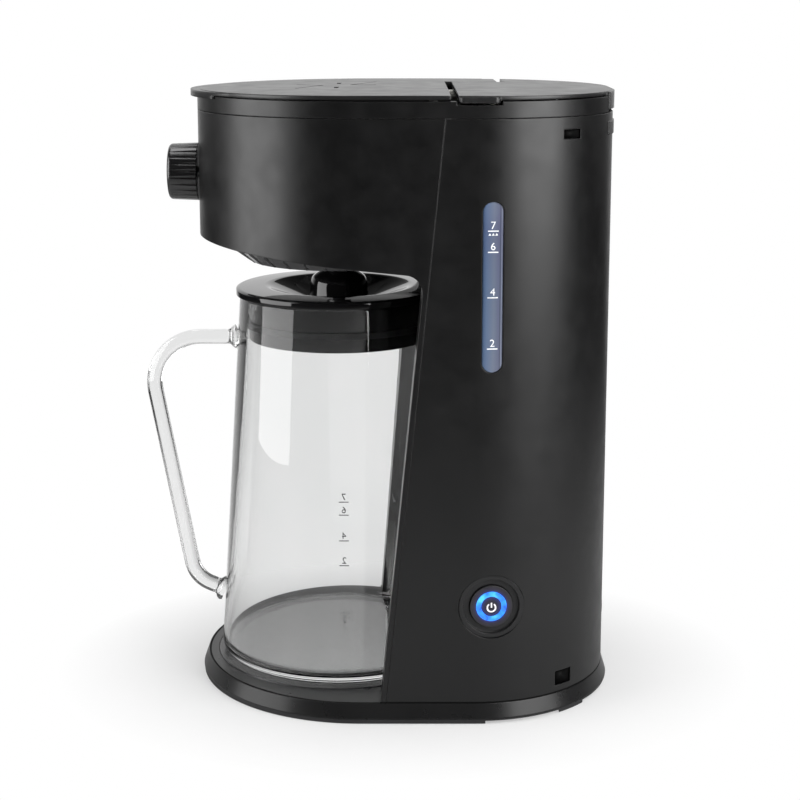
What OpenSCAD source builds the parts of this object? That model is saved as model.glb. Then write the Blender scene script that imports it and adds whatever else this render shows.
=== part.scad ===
// Iced coffee maker with a raked glass jug bay, brew head, rear water tank and strength knob.
// Front is -X, the side with the water window is -Y, the floor is at Z = 0.

/* [Body] */
// Clearance between the nose and the jug's foot
nose_clear = 7.3; // [7:0.1:9]
// Length of the tower behind the hollow of the jug bay
tower_len = 70.5; // [66:0.1:80]
// Width of the body
body_w = 165; // [160:0.5:180]
// Radius of the two rear corners in plan
rear_r = 69; // [62:0.5:75]
// Height of the body's top edge over the bay's inner corner
head_h = 73.9; // [70:0.1:85]
// Thickness of the outer walls
wall = 2.5; // [2:0.1:3]
// Gap between the top edges of the housings and the collar
seam_gap = 0.3; // [0.2:0.05:0.5]
// Fit between mouldings that sit inside each other
fit = 0.15; // [0.1:0.05:0.3]

/* [Base] */
// Height of the base's deck
base_h = 10; // [9:0.1:12]
// How far the base flares out past the body
base_lip = 2.6; // [1.5:0.1:4]
// Height of the underside of the base shell
base_z = 2.65; // [2.4:0.05:3.2]
// Thickness of the bottom cover
cover_t = 0.9; // [0.8:0.1:1.2]
// Clearance of the bottom skirt over the floor
skirt_lift = 0.4; // [0.2:0.1:0.8]
// Radius of a rubber foot
foot_r = 8; // [6:0.5:10]
// How far the jug pad reaches past the jug's foot
pad_rim = 1.7; // [1.2:0.1:2]
// Height of the jug pad above the deck
pad_h = 0.5; // [0.4:0.1:1]
// Depth that the jug pad is let into the deck
pad_sink = 1.5; // [1:0.1:2]

/* [Jug bay and brew head] */
// Rake of the tower's front edge and tilt of the head's floor, in degrees
rake = 5.6; // [4:0.1:7]
// Distance from the jug's axis back to the inner corner of the bay
corner_behind = 43; // [40:0.1:46]
// Height of the inner corner of the bay
corner_z = 222.2; // [215:0.1:235]
// Fillet in the inner corner of the bay
bay_fillet = 8.5; // [6:0.1:11]
// Width of the head moulding's edge band along the bay
edge_band = 2.4; // [2:0.1:3.5]
// Clearance between the jug's foot and the hollow behind it
bay_gap = 3.7; // [3:0.1:5]

/* [Collar and lids] */
// Height of the collar
collar_h = 7.7; // [7.2:0.1:8.6]
// Thickness of the collar's wall
collar_t = 3; // [2.5:0.1:3.5]
// Gap between the collar and the lids
lid_gap = 0.5; // [0.4:0.1:0.8]
// Thickness of the lids at the rim
lid_t = 1.6; // [1.5:0.1:2.2]
// Rise of the lids towards the middle
lid_crown = 1.2; // [0.5:0.1:2]
// How far the lids stand in from the collar's face
lid_inset = 1.2; // [0.8:0.1:2]
// Distance from the jug's axis to the front lid's near edge
split_near = 55; // [52:0.1:58]
// Width of the slots between the two lids
split_slot = 3.8; // [3.5:0.1:4.5]
// Distance from the jug's axis to the front lid's far edge
split_far = 82.6; // [80:0.1:86]
// Distance from the middle to the fore and aft split
split_y = 38; // [30:0.5:40]
// Width of the rear lid's finger tab
tab_w = 19.3; // [15:0.1:22]
// Depth of the finger tab's face
tab_h = 2.8; // [2:0.1:3]
// Reach of the front lid's lip past the nose
lip_reach = 3.4; // [2:0.1:5]
// Radius of the front lid's lip in plan
lip_r = 70; // [60:1:75]
// Depth of the lip's face
lip_h = 3.2; // [2:0.1:4]

/* [Lid hinges] */
// Height of the front lid's hinge above the collar's lower edge
front_hinge_up = 4.8; // [4.6:0.1:5]
// Distance of the front hinge from the front lid's far edge
front_hinge_in = 2.6; // [2.4:0.1:2.9]
// Radius of the front hinge pin
front_pin_r = 1.5; // [1.2:0.1:1.6]
// Distance of the rear hinge in from the rear wall
rear_hinge_in = 2.3; // [2.2:0.1:2.6]
// Drop of the rear hinge below the body's top edge
rear_hinge_down = 1.1; // [0.9:0.1:1.3]
// Radius of the rear hinge knuckles
rear_knuckle_r = 2; // [1.8:0.05:2.1]
// Radius of the rear hinge pin
rear_pin_r = 1; // [0.8:0.05:1.1]
// Half width of the rear hinge pin
rear_hinge_w = 20; // [15:0.5:22]
// Half width of the rear hinge's cover
rear_cover_w = 38; // [30:0.5:42]
// How far the rear hinge stands out from the rear wall
rear_hinge_out = 0.6; // [0.4:0.05:0.8]
// Radial running clearance of the hinge pins
pin_clear = 0.05; // [0.02:0.01:0.08]

/* [Water tank and window] */
// Height of the underside of the tank
tank_z = 156.5; // [150:0.5:165]
// Drop from the body's top edge to the tank's rim
tank_low = 6.1; // [6:0.1:10]
// Thickness of the tank's walls
tank_t = 2; // [1.5:0.1:2.5]
// Distance between the tank and the outer wall
tank_gap = 1.6; // [1.5:0.1:2]
// Distance from the bay's inner corner back to the tank's wings
tank_behind = 7.4; // [7:0.1:12]
// Width of the water window
window_w = 9.8; // [8:0.1:12]
// Height of the water window
window_h = 81.3; // [70:0.1:90]
// Distance from the jug's axis to the middle of the window
window_back = 75.2; // [70:0.1:80]
// Height of the middle of the window
window_z = 217; // [210:0.5:225]

/* [Power button] */
// Distance from the jug's axis to the button's axis
button_back = 76.3; // [73:0.1:80]
// Height of the button's axis
button_z = 59.5; // [55:0.5:70]
// Outer radius of the button's bezel
bezel_r = 16; // [15:0.1:17]
// Radius of the button's recess
recess_r = 13.5; // [12.6:0.1:14]
// Radius of the button's cap
cap_r = 10.5; // [9:0.1:11]
// Travel of the button
button_travel = 2; // [1.5:0.1:2.2]
// Inner radius of the light ring
led_in = 5; // [4:0.1:5.5]
// Outer radius of the light ring
led_out = 7.5; // [7:0.1:8.5]

/* [Strength knob] */
// Diameter of the knob
knob_d = 29.3; // [25:0.1:33]
// Length of the knob
knob_len = 15.5; // [13.5:0.1:18]
// Height of the knob's axis over the bay's inner corner
knob_up = 41.5; // [38:0.1:45]
// Number of grip flutes on the knob
knob_flutes = 26; // [16:1:32]
// Radius of one grip flute
flute_r = 0.9; // [0.6:0.05:1.1]
// Radius of the knob's shaft
shaft_r = 3; // [2.5:0.1:3.5]

/* [Brew basket] */
// How much smaller the basket is than the jug's foot, in radius
basket_in = 5.3; // [5:0.1:6]
// Height of the basket's seat over the bay's inner corner
seat_up = 13.8; // [13:0.1:16]
// Drop from the body's top edge to the basket's rim
basket_low = 6.1; // [6:0.1:10]
// Depth of the basket below its seat
basket_drop = 16.7; // [16.2:0.1:17.2]
// Radius of the basket's underside
basket_foot_r = 45.5; // [43:0.1:48]
// Width of the ledge that the basket sits on
basket_ledge = 4.3; // [4:0.1:5]
// Thickness of the basket's walls
basket_t = 2; // [1.5:0.1:2.5]
// Number of ribs under the basket
basket_ribs = 30; // [12:1:36]
// Length of the drip nozzle under the basket
nozzle_len = 2.8; // [2:0.1:3.2]
// Radius of the drip valve's stem
stem_r = 3.2; // [2.5:0.1:3.4]
// Lift of the drip valve
valve_lift = 3; // [2:0.1:3.4]

/* [Jug] */
// Radius of the glass just above its foot
jug_foot_r = 63.3; // [60:0.1:66]
// Radius of the glass at its mouth
jug_mouth_r = 51; // [50:0.1:52]
// Drop from the basket's underside to the jug's mouth
jug_drop = 18.7; // [17:0.1:22]
// Thickness of the glass
glass_t = 2.6; // [2:0.1:3]
// Thickness of the jug's bottom
glass_floor = 3.4; // [3:0.1:5]
// Rounding at the foot of the glass
foot_round = 5; // [3:0.1:6]
// Diameter of the handle's glass rod
handle_d = 8; // [7:0.1:9]
// Reach of the handle ahead of the base
handle_reach = 27.3; // [24:0.1:32]
// Drop from the jug's mouth to the handle's upper arm
handle_down = 22.8; // [20:0.1:30]
// Height of the handle's lower end above the jug's foot
handle_low = 31.7; // [28:0.1:40]
// Lean of the grip in degrees
handle_lean = 10.4; // [8:0.1:13]
// Bend radius at the top of the handle
handle_bend = 24.5; // [20:0.1:28]
// Bend radius at the foot of the handle
handle_foot_bend = 16; // [12:0.1:18]
// How far the jug lid's flange reaches past the mouth
jug_lid_over = 2; // [1.5:0.1:3]
// Thickness of the jug lid's flange
jug_lid_t = 4; // [3.5:0.1:4.4]
// Depth of the jug lid's skirt
jug_skirt = 22.5; // [18:0.1:26]
// Radius of the dome in the middle of the jug lid
dome_r = 15.4; // [13:0.1:17]

/* [Hidden] */
$fn = 96;
cut = 1;
touch = 0.3;
half_w = body_w / 2;
bay_r = jug_foot_r + bay_gap;
pad_r = jug_foot_r + pad_rim;
basket_r = jug_foot_r - basket_in;
basket_neck_r = basket_r - basket_ledge;
nose_gap = nose_clear + basket_in;
body_len = nose_clear + jug_foot_r + bay_r + tower_len;
total_len = body_len + 2 * base_lip + handle_reach;
x_min = -total_len / 2;
x_front = x_min + handle_reach + base_lip;
x_rear = x_front + body_len;
nose_x = x_front + half_w;
rear_x = x_rear - rear_r;
rear_y = half_w - rear_r;
jug_x = x_front + nose_clear + jug_foot_r;
corner_x = jug_x + corner_behind;
seam_z = corner_z + head_h;
seat_z = corner_z + seat_up;
knob_z = corner_z + knob_up;
basket_z = seat_z - basket_drop;
basket_top = seam_z - basket_low;
tank_top = seam_z - tank_low;
far = 400;
reach_in = 10;
hole_clear = 0.2;

// Collar and lids
collar_z = seam_z + seam_gap;
collar_top = collar_z + collar_h;
lid_z = collar_top + lid_gap;
mid_x = (x_front + x_rear) / 2;
lid_over = 12.5;
lid_dome_r = body_len / 2 + lid_over;
near_x = jug_x + split_near;
far_x = jug_x + split_far;
split_line = 0.3;
ear_x = near_x + split_slot;
web_front = ear_x + 0.3;
web_t = 1.6;
web_rear = far_x + 0.9;
rib_h = 2.5;
rib_t = 1.5;
rib_gap = 0.8;
rib_short = 10;
steam_w = 2.4;
steam_len = 9;
steam_y = 20;
tab_gap = 1;
lip_gap = 0.4;
tab_round = 2.5;
tab_depth = 5;

// Lid hinges
front_hinge_x = far_x - front_hinge_in;
front_hinge_z = collar_z + front_hinge_up;
front_knuckle_r = front_hinge_up - web_t - 0.7;
front_lug_r = 3;
front_lug_w = 5;
front_lug_y = split_y + 3.5;
front_lug_in = 6.5;
front_lug_end = half_w - front_lug_in;
lug_side = 0.5;
corner_cut = collar_top - front_hinge_z + lug_side;
corner_reach = front_hinge_x + lid_z + lid_t + lid_crown - front_hinge_z - rear_x;
corner_y = rear_y + sqrt(pow(rear_r - collar_t - lug_side, 2) - pow(corner_reach, 2));
rear_hinge_x = x_rear - rear_hinge_in;
rear_hinge_z = seam_z - rear_hinge_down;
rear_knuckle_w = rear_hinge_w / 2;
knuckle_side = 0.4;
rear_slot_side = 0.6;
bracket_top = rear_hinge_z - rear_knuckle_r - 1.2;
bracket_h = 6.4;
hinge_skirt_gap = 0.8;
cover_t_in = 3;
hinge_web_t = 2;

// Snap hooks between the housing, the collar and the base
hook_angle = 40.2;
hook_w = 10.9;
hook_hole_h = 4.6;
low_hole_h = 7.5;
hook_top_drop = 8.1;
hook_low_up = 3.8;
hook_t = 1.1;
hook_play = 0.4;
hook_nub = 1.9;
tongue_w = 13;
tongue_over = 1;
tongue_face = sqrt(pow(rear_r - wall - fit, 2) - pow(tongue_w / 2, 2));

// Base
skirt_short = 63.9;
skirt_end_x = x_rear - skirt_short;
skirt_t = 3;
rear_foot_in = 26.5;
rear_foot_len = 13;
foot_taper = 0.8;
screw_slot = 3.2;
screw_slot_w = 0.7;
hollow_in = 3;
deck_t = 3.2;
hollow_z = base_h - deck_t;
screw_r = 1.2;
screw_head_r = 2.8;
screw_head_h = 1.3;
screw_boss_r = 4;
thread_clear = 0.05;
screw_front = 35;
screw_rear = 38;
screw_y = 42;
screw_rear_y = 48;
foot_front = 28;
foot_rear = 24;
foot_y = 32;
foot_rear_y = 34;
screw_spots = [for (s = [1, -1])
  each [[x_front + screw_front, s * screw_y], [x_rear - screw_rear, s * screw_rear_y]]];
foot_spots = [for (s = [1, -1])
  each [[x_front + foot_front, s * foot_y], [x_rear - foot_rear, s * foot_rear_y]]];
jug_z = base_h + pad_h + touch;
ledge_t = 3;
ledge_w = 12;
ledge_len = 12;

// Basket, valve and selector
seat_ring_in = basket_neck_r + 0.5;
seat_ring_out = basket_r + 2;
basket_rim_w = 2;
basket_rim_t = 1.5;
basket_floor_t = basket_t + 0.2;
basket_floor_z = basket_z + basket_floor_t;
basket_cone_h = 6.7;
basket_cone_z = basket_z + basket_cone_h;
basket_rib_t = 0.8;
basket_rib_out = 0.4;
basket_rib_in = 1;
seat_ring_drop = 15;
basket_step_z = seat_z + basket_t;
stem_clear = 0.4;
nozzle_r = 7;
nozzle_taper = 1;
nozzle_z = basket_z - nozzle_len;
valve_disc_r = 6.5;
valve_disc_h = 2.5;
valve_disc_z = basket_floor_z + touch;
valve_pin_r = 2;
cage_r = 9;
cage_t = 1.8;
cage_h = 14.5;
cage_roof = 1.5;
cage_z = basket_floor_z + cage_h;
cage_port_w = 5;
cage_port_h = 6;
pin_over = 0.5;
spring_seat = 0.05;
spring_r = 4.2;
spring_wire = 0.45;
spring_turns = 5;
filter_gap = 0.4;
filter_t = 1;
filter_rim_h = 1;
filter_foot_r = 42;
filter_over = 1;
filter_z = cage_z + cage_roof + valve_lift + filter_over;
filter_windows = 12;
filter_lip = 4;
filter_top = 2;
filter_window_w = 16;
filter_band = 6;
filter_band_top = 6.5;
mesh_gap = 0.2;
mesh_t = 0.4;
stem_out = 1.9;
stem_z = nozzle_z - stem_out;
dome_clear = 0.4;
dome_z = stem_z - dome_clear;
bush_r = 5;
bush_flange_r = 8;
bush_gap = 0.5;
bush_flange_t = 1.6;
disc_r = 11;
disc_t = 2.8;
disc_gap = 0.4;
boss_r = 12;
boss_out = 2.9;
boss_sink = 2;
boss_x = jug_x - basket_r - boss_out;
disc_x = boss_x - disc_gap;
bush_end = nose_gap - boss_out - disc_gap - disc_t - bush_gap;
bush_in = 0.1;
shaft_short = 0.2;
shaft_seat = 10;
knob_gap = 0.4;
knob_taper = 0.5;
knob_round = 2.5;
flute_out = 0.27;
bore_fit = 0.02;
port_r = 3.5;
port_off = 6;

// Water path
bend_r = 12;
hose_r = 5.5;
stub_r = 4.5;
stub_bore = 3;
hose_fit = 0.05;
pipe_gap = 8.5;
stub_len = 8;
pipe_x = jug_x + bay_r + wall + pipe_gap;
heater_x = pipe_x + stub_len + bend_r;
heater_up = 19.9;
heater_z = base_h + heater_up;
heater_tube_r = 6.5;
heater_back = 3.5;
heater_r = x_rear - wall - heater_back - heater_tube_r - heater_x;
heater_bore = 4;
heater_web = 4;
rod_r = 4.2;
rod_drop = 9.5;
valve_up = 72.9;
valve_z = base_h + valve_up;
hose_end = 0.5;
hose_short = 1;
tank_floor = tank_t + 0.5;
strainer_h = 4;
strainer_r = 6.5;
strainer_taper = 1.5;
strainer_t = 1.2;
strainer_slots = 6;
strainer_slot = 2.4;
strainer_slot_w = 1;
check_r = 7;
check_h = 16;
check_stub = 8;
tunnel_gap = 1;
spigot_len = 10.5;
clamp_t = 1.2;
clamp_w = 5;
clamp_gap = 0.1;
clamp_in = 1;
clamp_up = 2;
clamp_down = 8;
spout_up = 3.2;
spout_tail = 12;
spout_flange_t = 1;
spout_z = web_t + collar_z + spout_up;
spout_r = 2.8;
spout_bore = 1.8;
spout_base_r = 4.6;
spout_flange_r = 8;
spout_turn = atan2(heater_r, pipe_x - jug_x);
spout_end = 55;
spray_r = 26;
spray_t = 1.5;
spray_h = 6.1;
spray_wall = 2;
spray_hole_r = 1.2;
spray_rings = [8, 15, 21];
channel_end = 52;
channel_w = 12;
pad_block_h = 7.5;
pad_block_in = 11;
pad_block_len = 14;
pad_block_w = 18;
bracket_t = 2;
bracket_side = 4;
bracket_ahead = 6;
bracket_behind = 5;
post_len = 8;
post_w = 6;
bracket_head_h = 2;
bracket_slot = 3.6;
bracket_slot_w = 0.8;
bracket_screw_r = 1.5;
bracket_head_r = 3.2;
bracket_screw_y = 12;
thermo_r = 8.5;
thermo_h = 6;
thermo_in = 4;
thermo_flange = 1.5;
thermo_tab_t = 0.8;
thermo_tab_w = 4.8;
thermo_tab_h = 6;
thermo_tab_y = 4;

// Power button
button_x = jug_x + button_back;
button_turn = asin((button_x - rear_x) / rear_r);
button_face = -rear_y - rear_r * cos(button_turn);
bezel_face = -0.9;
bezel_len = 14;
lip_r_in = cap_r + 0.3;
lip_top = -2.6;
lip_t = 1.2;
cap_face = -1.2;
flange_r = cap_r + 2;
flange_h = 1.2;
flange_z = lip_top - lip_t - touch;
stem_len = 1.9;
led_depth = 1.2;
led_fit = 0.05;
board_t = 1.6;
board_w = 36;
board_h = 32;
board_head_r = 1.8;
board_head_h = 1.2;
bezel_bore = recess_r - 0.5;
recess_flare = 0.6;
button_stem_r = 3;
board_screw_r = 0.8;
board_screw_len = 6;
switch_w = 6;
switch_h = 3.5;
plunger_r = 1.7;

// Window
window_x = jug_x + window_back;
window_play = 0.2;
window_sink = 0.5;
window_flange = 2.4;
window_flange_t = 1.2;

// Cord gland
gland_up = 23.5;
gland_z = base_h + gland_up;
gland_in = 2;
gland_bevel = 0.6;
gland_r = 6.4;
gland_bore = 3.6;
gland_flange = 8.5;
gland_out = 1.3;

// Jug
jug_top = basket_z - jug_drop;
jug_h = jug_top - jug_z;
mouth_inner = jug_mouth_r - glass_t;
taper = (jug_foot_r - jug_mouth_r) / (jug_h - foot_round);
skirt_play = 0.5;
skirt_r = mouth_inner - skirt_play;
jug_lid_r = jug_mouth_r + jug_lid_over;
inner_round = 2;
inner_rise = 2.5;
jug_lid_z = jug_top + touch;
jug_lid_top = jug_lid_z + jug_lid_t;
funnel_in = 14;
funnel_r = jug_mouth_r - funnel_in;
funnel_rim = 0.6;
funnel_drop = 3.5;
funnel_low = jug_lid_z - funnel_drop;
funnel_t = 2;
lid_edge = 1.2;
dome_foot = 3;
dome_wall = 4;
dome_lean = 1.4;
dome_shoulder = 5;
dome_top_in = 5.5;
dome_top_r = dome_r - dome_top_in;
dome_top_drop = 1.3;
dome_t = 3;
lid_slot_in = 0.8;
lid_slot_len = 3.4;
lid_slot_w = 3;
lid_slot_deep = 10;
lid_slot_h = 14;
lid_slots = 10;
gasket_w = 3;
gasket_drop = 15.5;
handle_r = handle_d / 2;
rod_skin = 0.15;
root_len = 6;
root_r = 6.2;
grip_x = x_min + handle_r + handle_bend;
arm_z = jug_top - handle_down;
low_z = jug_z + handle_low;
grip_top = [grip_x - handle_bend * cos(handle_lean), arm_z - handle_bend - handle_bend * sin(handle_lean)];
grip_drop = grip_top[1] - low_z - handle_foot_bend * (1 - sin(handle_lean));
grip_len = grip_drop / cos(handle_lean);
grip_low = [grip_top[0] + grip_len * sin(handle_lean), grip_top[1] - grip_drop];
foot_c = [grip_low[0] + handle_foot_bend * cos(handle_lean), low_z + handle_foot_bend];

// Plan outline of the body, grown by g all round
module plan(g = 0) {
  translate([nose_x, 0]) circle(half_w + g);
  translate([nose_x, -half_w - g]) square([rear_x - nose_x, body_w + 2 * g]);
  for (s = [-1, 1]) translate([rear_x, s * rear_y]) circle(rear_r + g);
  translate([rear_x, -rear_y]) square([rear_r + g, 2 * rear_y]);
}

// Upright prism on the plan outline
module prism(g, z0, z1) {
  translate([0, 0, z0]) linear_extrude(z1 - z0) plan(g);
}

// Upright wall between two offsets of the plan outline
module plan_wall(g_out, g_in, z0, z1) {
  translate([0, 0, z0]) linear_extrude(z1 - z0) difference() {
    plan(g_out);
    plan(g_in);
  }
}

// Slab whose edge leans out from one offset of the outline to another
module flared(g0, g1, z0, z1) {
  h = z1 - z0;
  translate([nose_x, 0, z0]) cylinder(h, half_w + g0, half_w + g1);
  for (s = [-1, 1]) translate([rear_x, s * rear_y, z0]) cylinder(h, rear_r + g0, rear_r + g1);
  translate([nose_x, 0, z0]) rotate([90, 0, 90]) linear_extrude(rear_x - nose_x)
    polygon([[-half_w - g0, 0], [half_w + g0, 0], [half_w + g1, h], [-half_w - g1, h]]);
  translate([0, rear_y, z0]) rotate([90, 0, 0]) linear_extrude(2 * rear_y)
    polygon([[rear_x, 0], [x_rear + g0, 0], [x_rear + g1, h], [rear_x, h]]);
}

// Side profile, drawn in X and Z, pushed through the whole width
module across() {
  translate([0, far / 2, 0]) rotate([90, 0, 0]) linear_extrude(far) children();
}

// Turns a profile about the bay's inner corner to the rake
module raked() {
  translate([corner_x, corner_z]) rotate(-rake) children();
}

// Side profile of the jug bay, grown by g
module bay_side(g = 0) {
  r = bay_fillet + g;
  raked() translate([g, g]) {
    translate([-far, -far]) square([far - r, far]);
    translate([-far, -far]) square([far, far - r]);
    translate([-r, -r]) circle(r);
  }
}

// Side profile of everything below the head's floor line, moved up by g
module below_floor(g = 0) {
  raked() translate([-far, -far + g]) square([2 * far, far]);
}

// Side profile of everything ahead of the raked seam
module ahead_of_seam(p) {
  raked() translate([p - far, -far]) square([far, 2 * far]);
}

// Places a piece on the wall at the power button, with +Z pointing out
module at_button() {
  translate([button_x, button_face, button_z]) rotate([90, 0, button_turn]) children();
}

// Places a piece on a rear corner's wall, with +X pointing out
module at_hook(s) {
  translate([rear_x, s * rear_y, 0]) rotate([0, 0, s * (90 - hook_angle)]) children();
}

module tube(h, r_out, r_in) {
  difference() {
    cylinder(h, r_out, r_out);
    translate([0, 0, -cut]) cylinder(h + 2 * cut, r_in, r_in);
  }
}

// Snap tongue from z0 to z1 with its nub for a hole that starts at hole_z and is hole_h high
module snap_tongue(s, z0, z1, hole_z, hole_h) {
  inner = tongue_face;
  at_hook(s) {
    translate([inner - hook_t, -tongue_w / 2, z0]) cube([hook_t, tongue_w, z1 - z0]);
    translate([inner - hook_t, -hook_w / 2 + hook_play, hole_z + hook_play])
      cube([hook_t + hook_nub, hook_w - 2 * hook_play, hole_h - 2 * hook_play]);
  }
}

module hook_hole(s, z, h) {
  at_hook(s) translate([rear_r - 2 * wall, -hook_w / 2, z]) cube([3 * wall, hook_w, h]);
}

// Upright slot with round ends in the near wall
module wall_slot(w, h) {
  translate([window_x, 0, window_z]) rotate([90, 0, 0]) linear_extrude(far) {
    translate([-w / 2, -h / 2 + w / 2]) square([w, h - w]);
    for (s = [-1, 1]) translate([0, s * (h - w) / 2]) circle(w / 2);
  }
}

// Closed wire helix standing on the axis
module helix(mean_r, wire_r, turns, height) {
  rings = turns * 8;
  sides = 6;
  points = [for (i = [0:rings], k = [0:sides - 1])
    let (a = i * 45, b = k * 360 / sides, r = mean_r + wire_r * cos(b))
    [r * cos(a), r * sin(a), height * i / rings + wire_r * sin(b)]];
  walls = [for (i = [0:rings - 1], k = [0:sides - 1])
    let (a = i * sides + k, b = i * sides + (k + 1) % sides)
    each [[a, a + sides, b + sides], [a, b + sides, b]]];
  start = [for (k = [1:sides - 2]) [0, k, k + 1]];
  end = [for (k = [1:sides - 2]) [rings * sides, rings * sides + k + 1, rings * sides + k]];
  polyhedron(points, concat(walls, start, end));
  echo(str("least gap between curls: ", height / turns - 2 * wire_r));
}

// Base

module base_shell() color("#1c1d1f") {
  difference() {
    union() {
      flared(base_lip, 0, base_z, base_h);
      for (s = [-1, 1])
        snap_tongue(s, base_h - cut, base_h + hook_low_up + low_hole_h + tongue_over,
          base_h + hook_low_up, low_hole_h);
    }
    difference() {
      prism(-hollow_in, base_z - cut, hollow_z);
      for (p = screw_spots) translate([p[0], p[1], 0]) cylinder(base_h, screw_boss_r, screw_boss_r);
    }
    for (p = screw_spots) translate([p[0], p[1], base_z - cut])
      cylinder(hollow_z - base_z + cut, screw_r + thread_clear, screw_r + thread_clear);
    translate([jug_x, 0, base_h - pad_sink]) cylinder(base_h, pad_r + fit, pad_r + fit);
    for (s = [-1, 1]) translate([heater_x, s * bracket_screw_y, 0])
      cylinder(base_h + cut, bracket_screw_r + thread_clear, bracket_screw_r + thread_clear);
  }
}

module bottom_cover() color("#26272a") {
  g = base_lip - touch;
  difference() {
    union() {
      prism(g, base_z - cover_t, base_z);
      intersection() {
        plan_wall(g, g - skirt_t, skirt_lift, base_z - cover_t);
        union() {
          translate([-far, -far / 2, 0]) cube([far + skirt_end_x, far, base_z]);
          translate([x_rear - rear_foot_in, -far / 2, 0])
            cube([rear_foot_len, far, base_z]);
        }
      }
    }
    for (p = screw_spots) translate([p[0], p[1], 0])
      cylinder(base_z + cut, screw_r + hole_clear, screw_r + hole_clear);
  }
}

module rubber_feet() color("#101010")
  for (p = foot_spots) translate([p[0], p[1], 0]) cylinder(base_z - cover_t, foot_r - foot_taper, foot_r);

module cover_screws() color("#8d9094")
  for (p = screw_spots) translate([p[0], p[1], base_z - cover_t - screw_head_h]) {
    difference() {
      cylinder(screw_head_h, screw_head_r, screw_head_r);
      for (a = [0, 90]) rotate(a) translate([-screw_slot / 2, -screw_slot_w / 2, -cut])
        cube([screw_slot, screw_slot_w, cut + screw_slot_w]);
    }
    cylinder(screw_head_h + hollow_z - base_z + cover_t - touch, screw_r, screw_r);
  }

module jug_pad() color("#2b2c2e") translate([jug_x, 0, base_h - pad_sink]) rotate_extrude()
  polygon([[0, 0], [pad_r, 0], [pad_r, pad_sink], [pad_r - pad_h, pad_sink + pad_h],
    [0, pad_sink + pad_h]]);

// Housings

module rear_housing() color("#1c1d1f") {
  difference() {
    union() {
      difference() {
        plan_wall(0, -wall, base_h, seam_z);
        across() ahead_of_seam(edge_band + fit);
      }
      // Ledges under the tank
      intersection() {
        prism(-wall / 2, tank_z - ledge_t, tank_z);
        union() {
          for (s = [-1, 1]) translate([rear_x, s * (half_w - ledge_w / 2), tank_z / 2])
            cube([ledge_len, ledge_w, tank_z], center = true);
          translate([x_rear - ledge_w / 2, 0, tank_z / 2])
            cube([ledge_w, 2 * ledge_len, tank_z], center = true);
        }
      }
      // Hinge bracket on the rear wall
      rear_band(rear_hinge_out, -wall / 2, bracket_top - bracket_h, bracket_top);
    }
    wall_slot(window_w + 2 * window_play, window_h + 2 * window_play);
    at_button() translate([0, 0, -far / 20]) cylinder(far / 10, bezel_r + fit, bezel_r + fit);
    for (s = [-1, 1]) {
      hook_hole(s, seam_z - hook_top_drop - hook_hole_h / 2, hook_hole_h);
      hook_hole(s, base_h + hook_low_up, low_hole_h);
    }
    translate([x_rear - reach_in, -rear_hinge_w - rear_slot_side, bracket_top])
      cube([2 * reach_in, 2 * (rear_hinge_w + rear_slot_side), far]);
    translate([x_rear - reach_in, 0, gland_z]) rotate([0, 90, 0])
      cylinder(2 * reach_in, gland_r + fit, gland_r + fit);
  }
  rear_hinge_arms();
}

// Band of wall round the rear, as wide as the hinge's cover
module rear_band(g_out, g_in, z0, z1) {
  intersection() {
    plan_wall(g_out, g_in, z0, z1);
    translate([rear_x, -rear_cover_w, 0]) cube([far, 2 * rear_cover_w, far]);
  }
}

// The two fixed knuckles of the rear hinge with their arms
module rear_hinge_arms() {
  w = rear_hinge_w - rear_knuckle_w - knuckle_side;
  for (s = [-1, 1]) translate([rear_hinge_x, s * (rear_knuckle_w + knuckle_side + w / 2), 0])
    difference() {
      union() {
        translate([0, w / 2, rear_hinge_z]) rotate([90, 0, 0])
          cylinder(w, rear_knuckle_r, rear_knuckle_r);
        translate([-rear_knuckle_r, -w / 2, bracket_top - cut])
          cube([2 * rear_knuckle_r, w, rear_hinge_z - bracket_top + cut]);
      }
      translate([0, far / 2, rear_hinge_z]) rotate([90, 0, 0])
        cylinder(far, rear_pin_r + bore_fit, rear_pin_r + bore_fit);
    }
}

module head_shell() color("#1c1d1f") difference() {
  intersection() {
    plan_wall(0, -wall, base_h, seam_z);
    across() ahead_of_seam(edge_band);
  }
  across() bay_side();
  translate([x_front - reach_in, 0, knob_z]) rotate([0, 90, 0])
    cylinder(2 * reach_in, bush_r + fit, bush_r + fit);
}

module bay_liner() color("#202123") difference() {
  intersection() {
    prism(-wall - fit, base_h, seam_z);
    union() {
      difference() {
        union() {
          across() bay_side(wall);
          intersection() {
            translate([jug_x, 0, 0]) cylinder(seam_z, bay_r + wall, bay_r + wall);
            across() below_floor(wall);
          }
        }
        translate([jug_x, 0, 0]) cylinder(seam_z, seat_ring_in, seat_ring_in);
      }
      // Level seat for the basket on the tilted floor
      translate([jug_x, 0, corner_z - seat_ring_drop])
        tube(seat_up + seat_ring_drop, seat_ring_out, seat_ring_in);
    }
  }
  across() bay_side();
  intersection() {
    translate([jug_x, 0, 0]) cylinder(seam_z, bay_r, bay_r);
    across() below_floor();
  }
}

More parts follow.
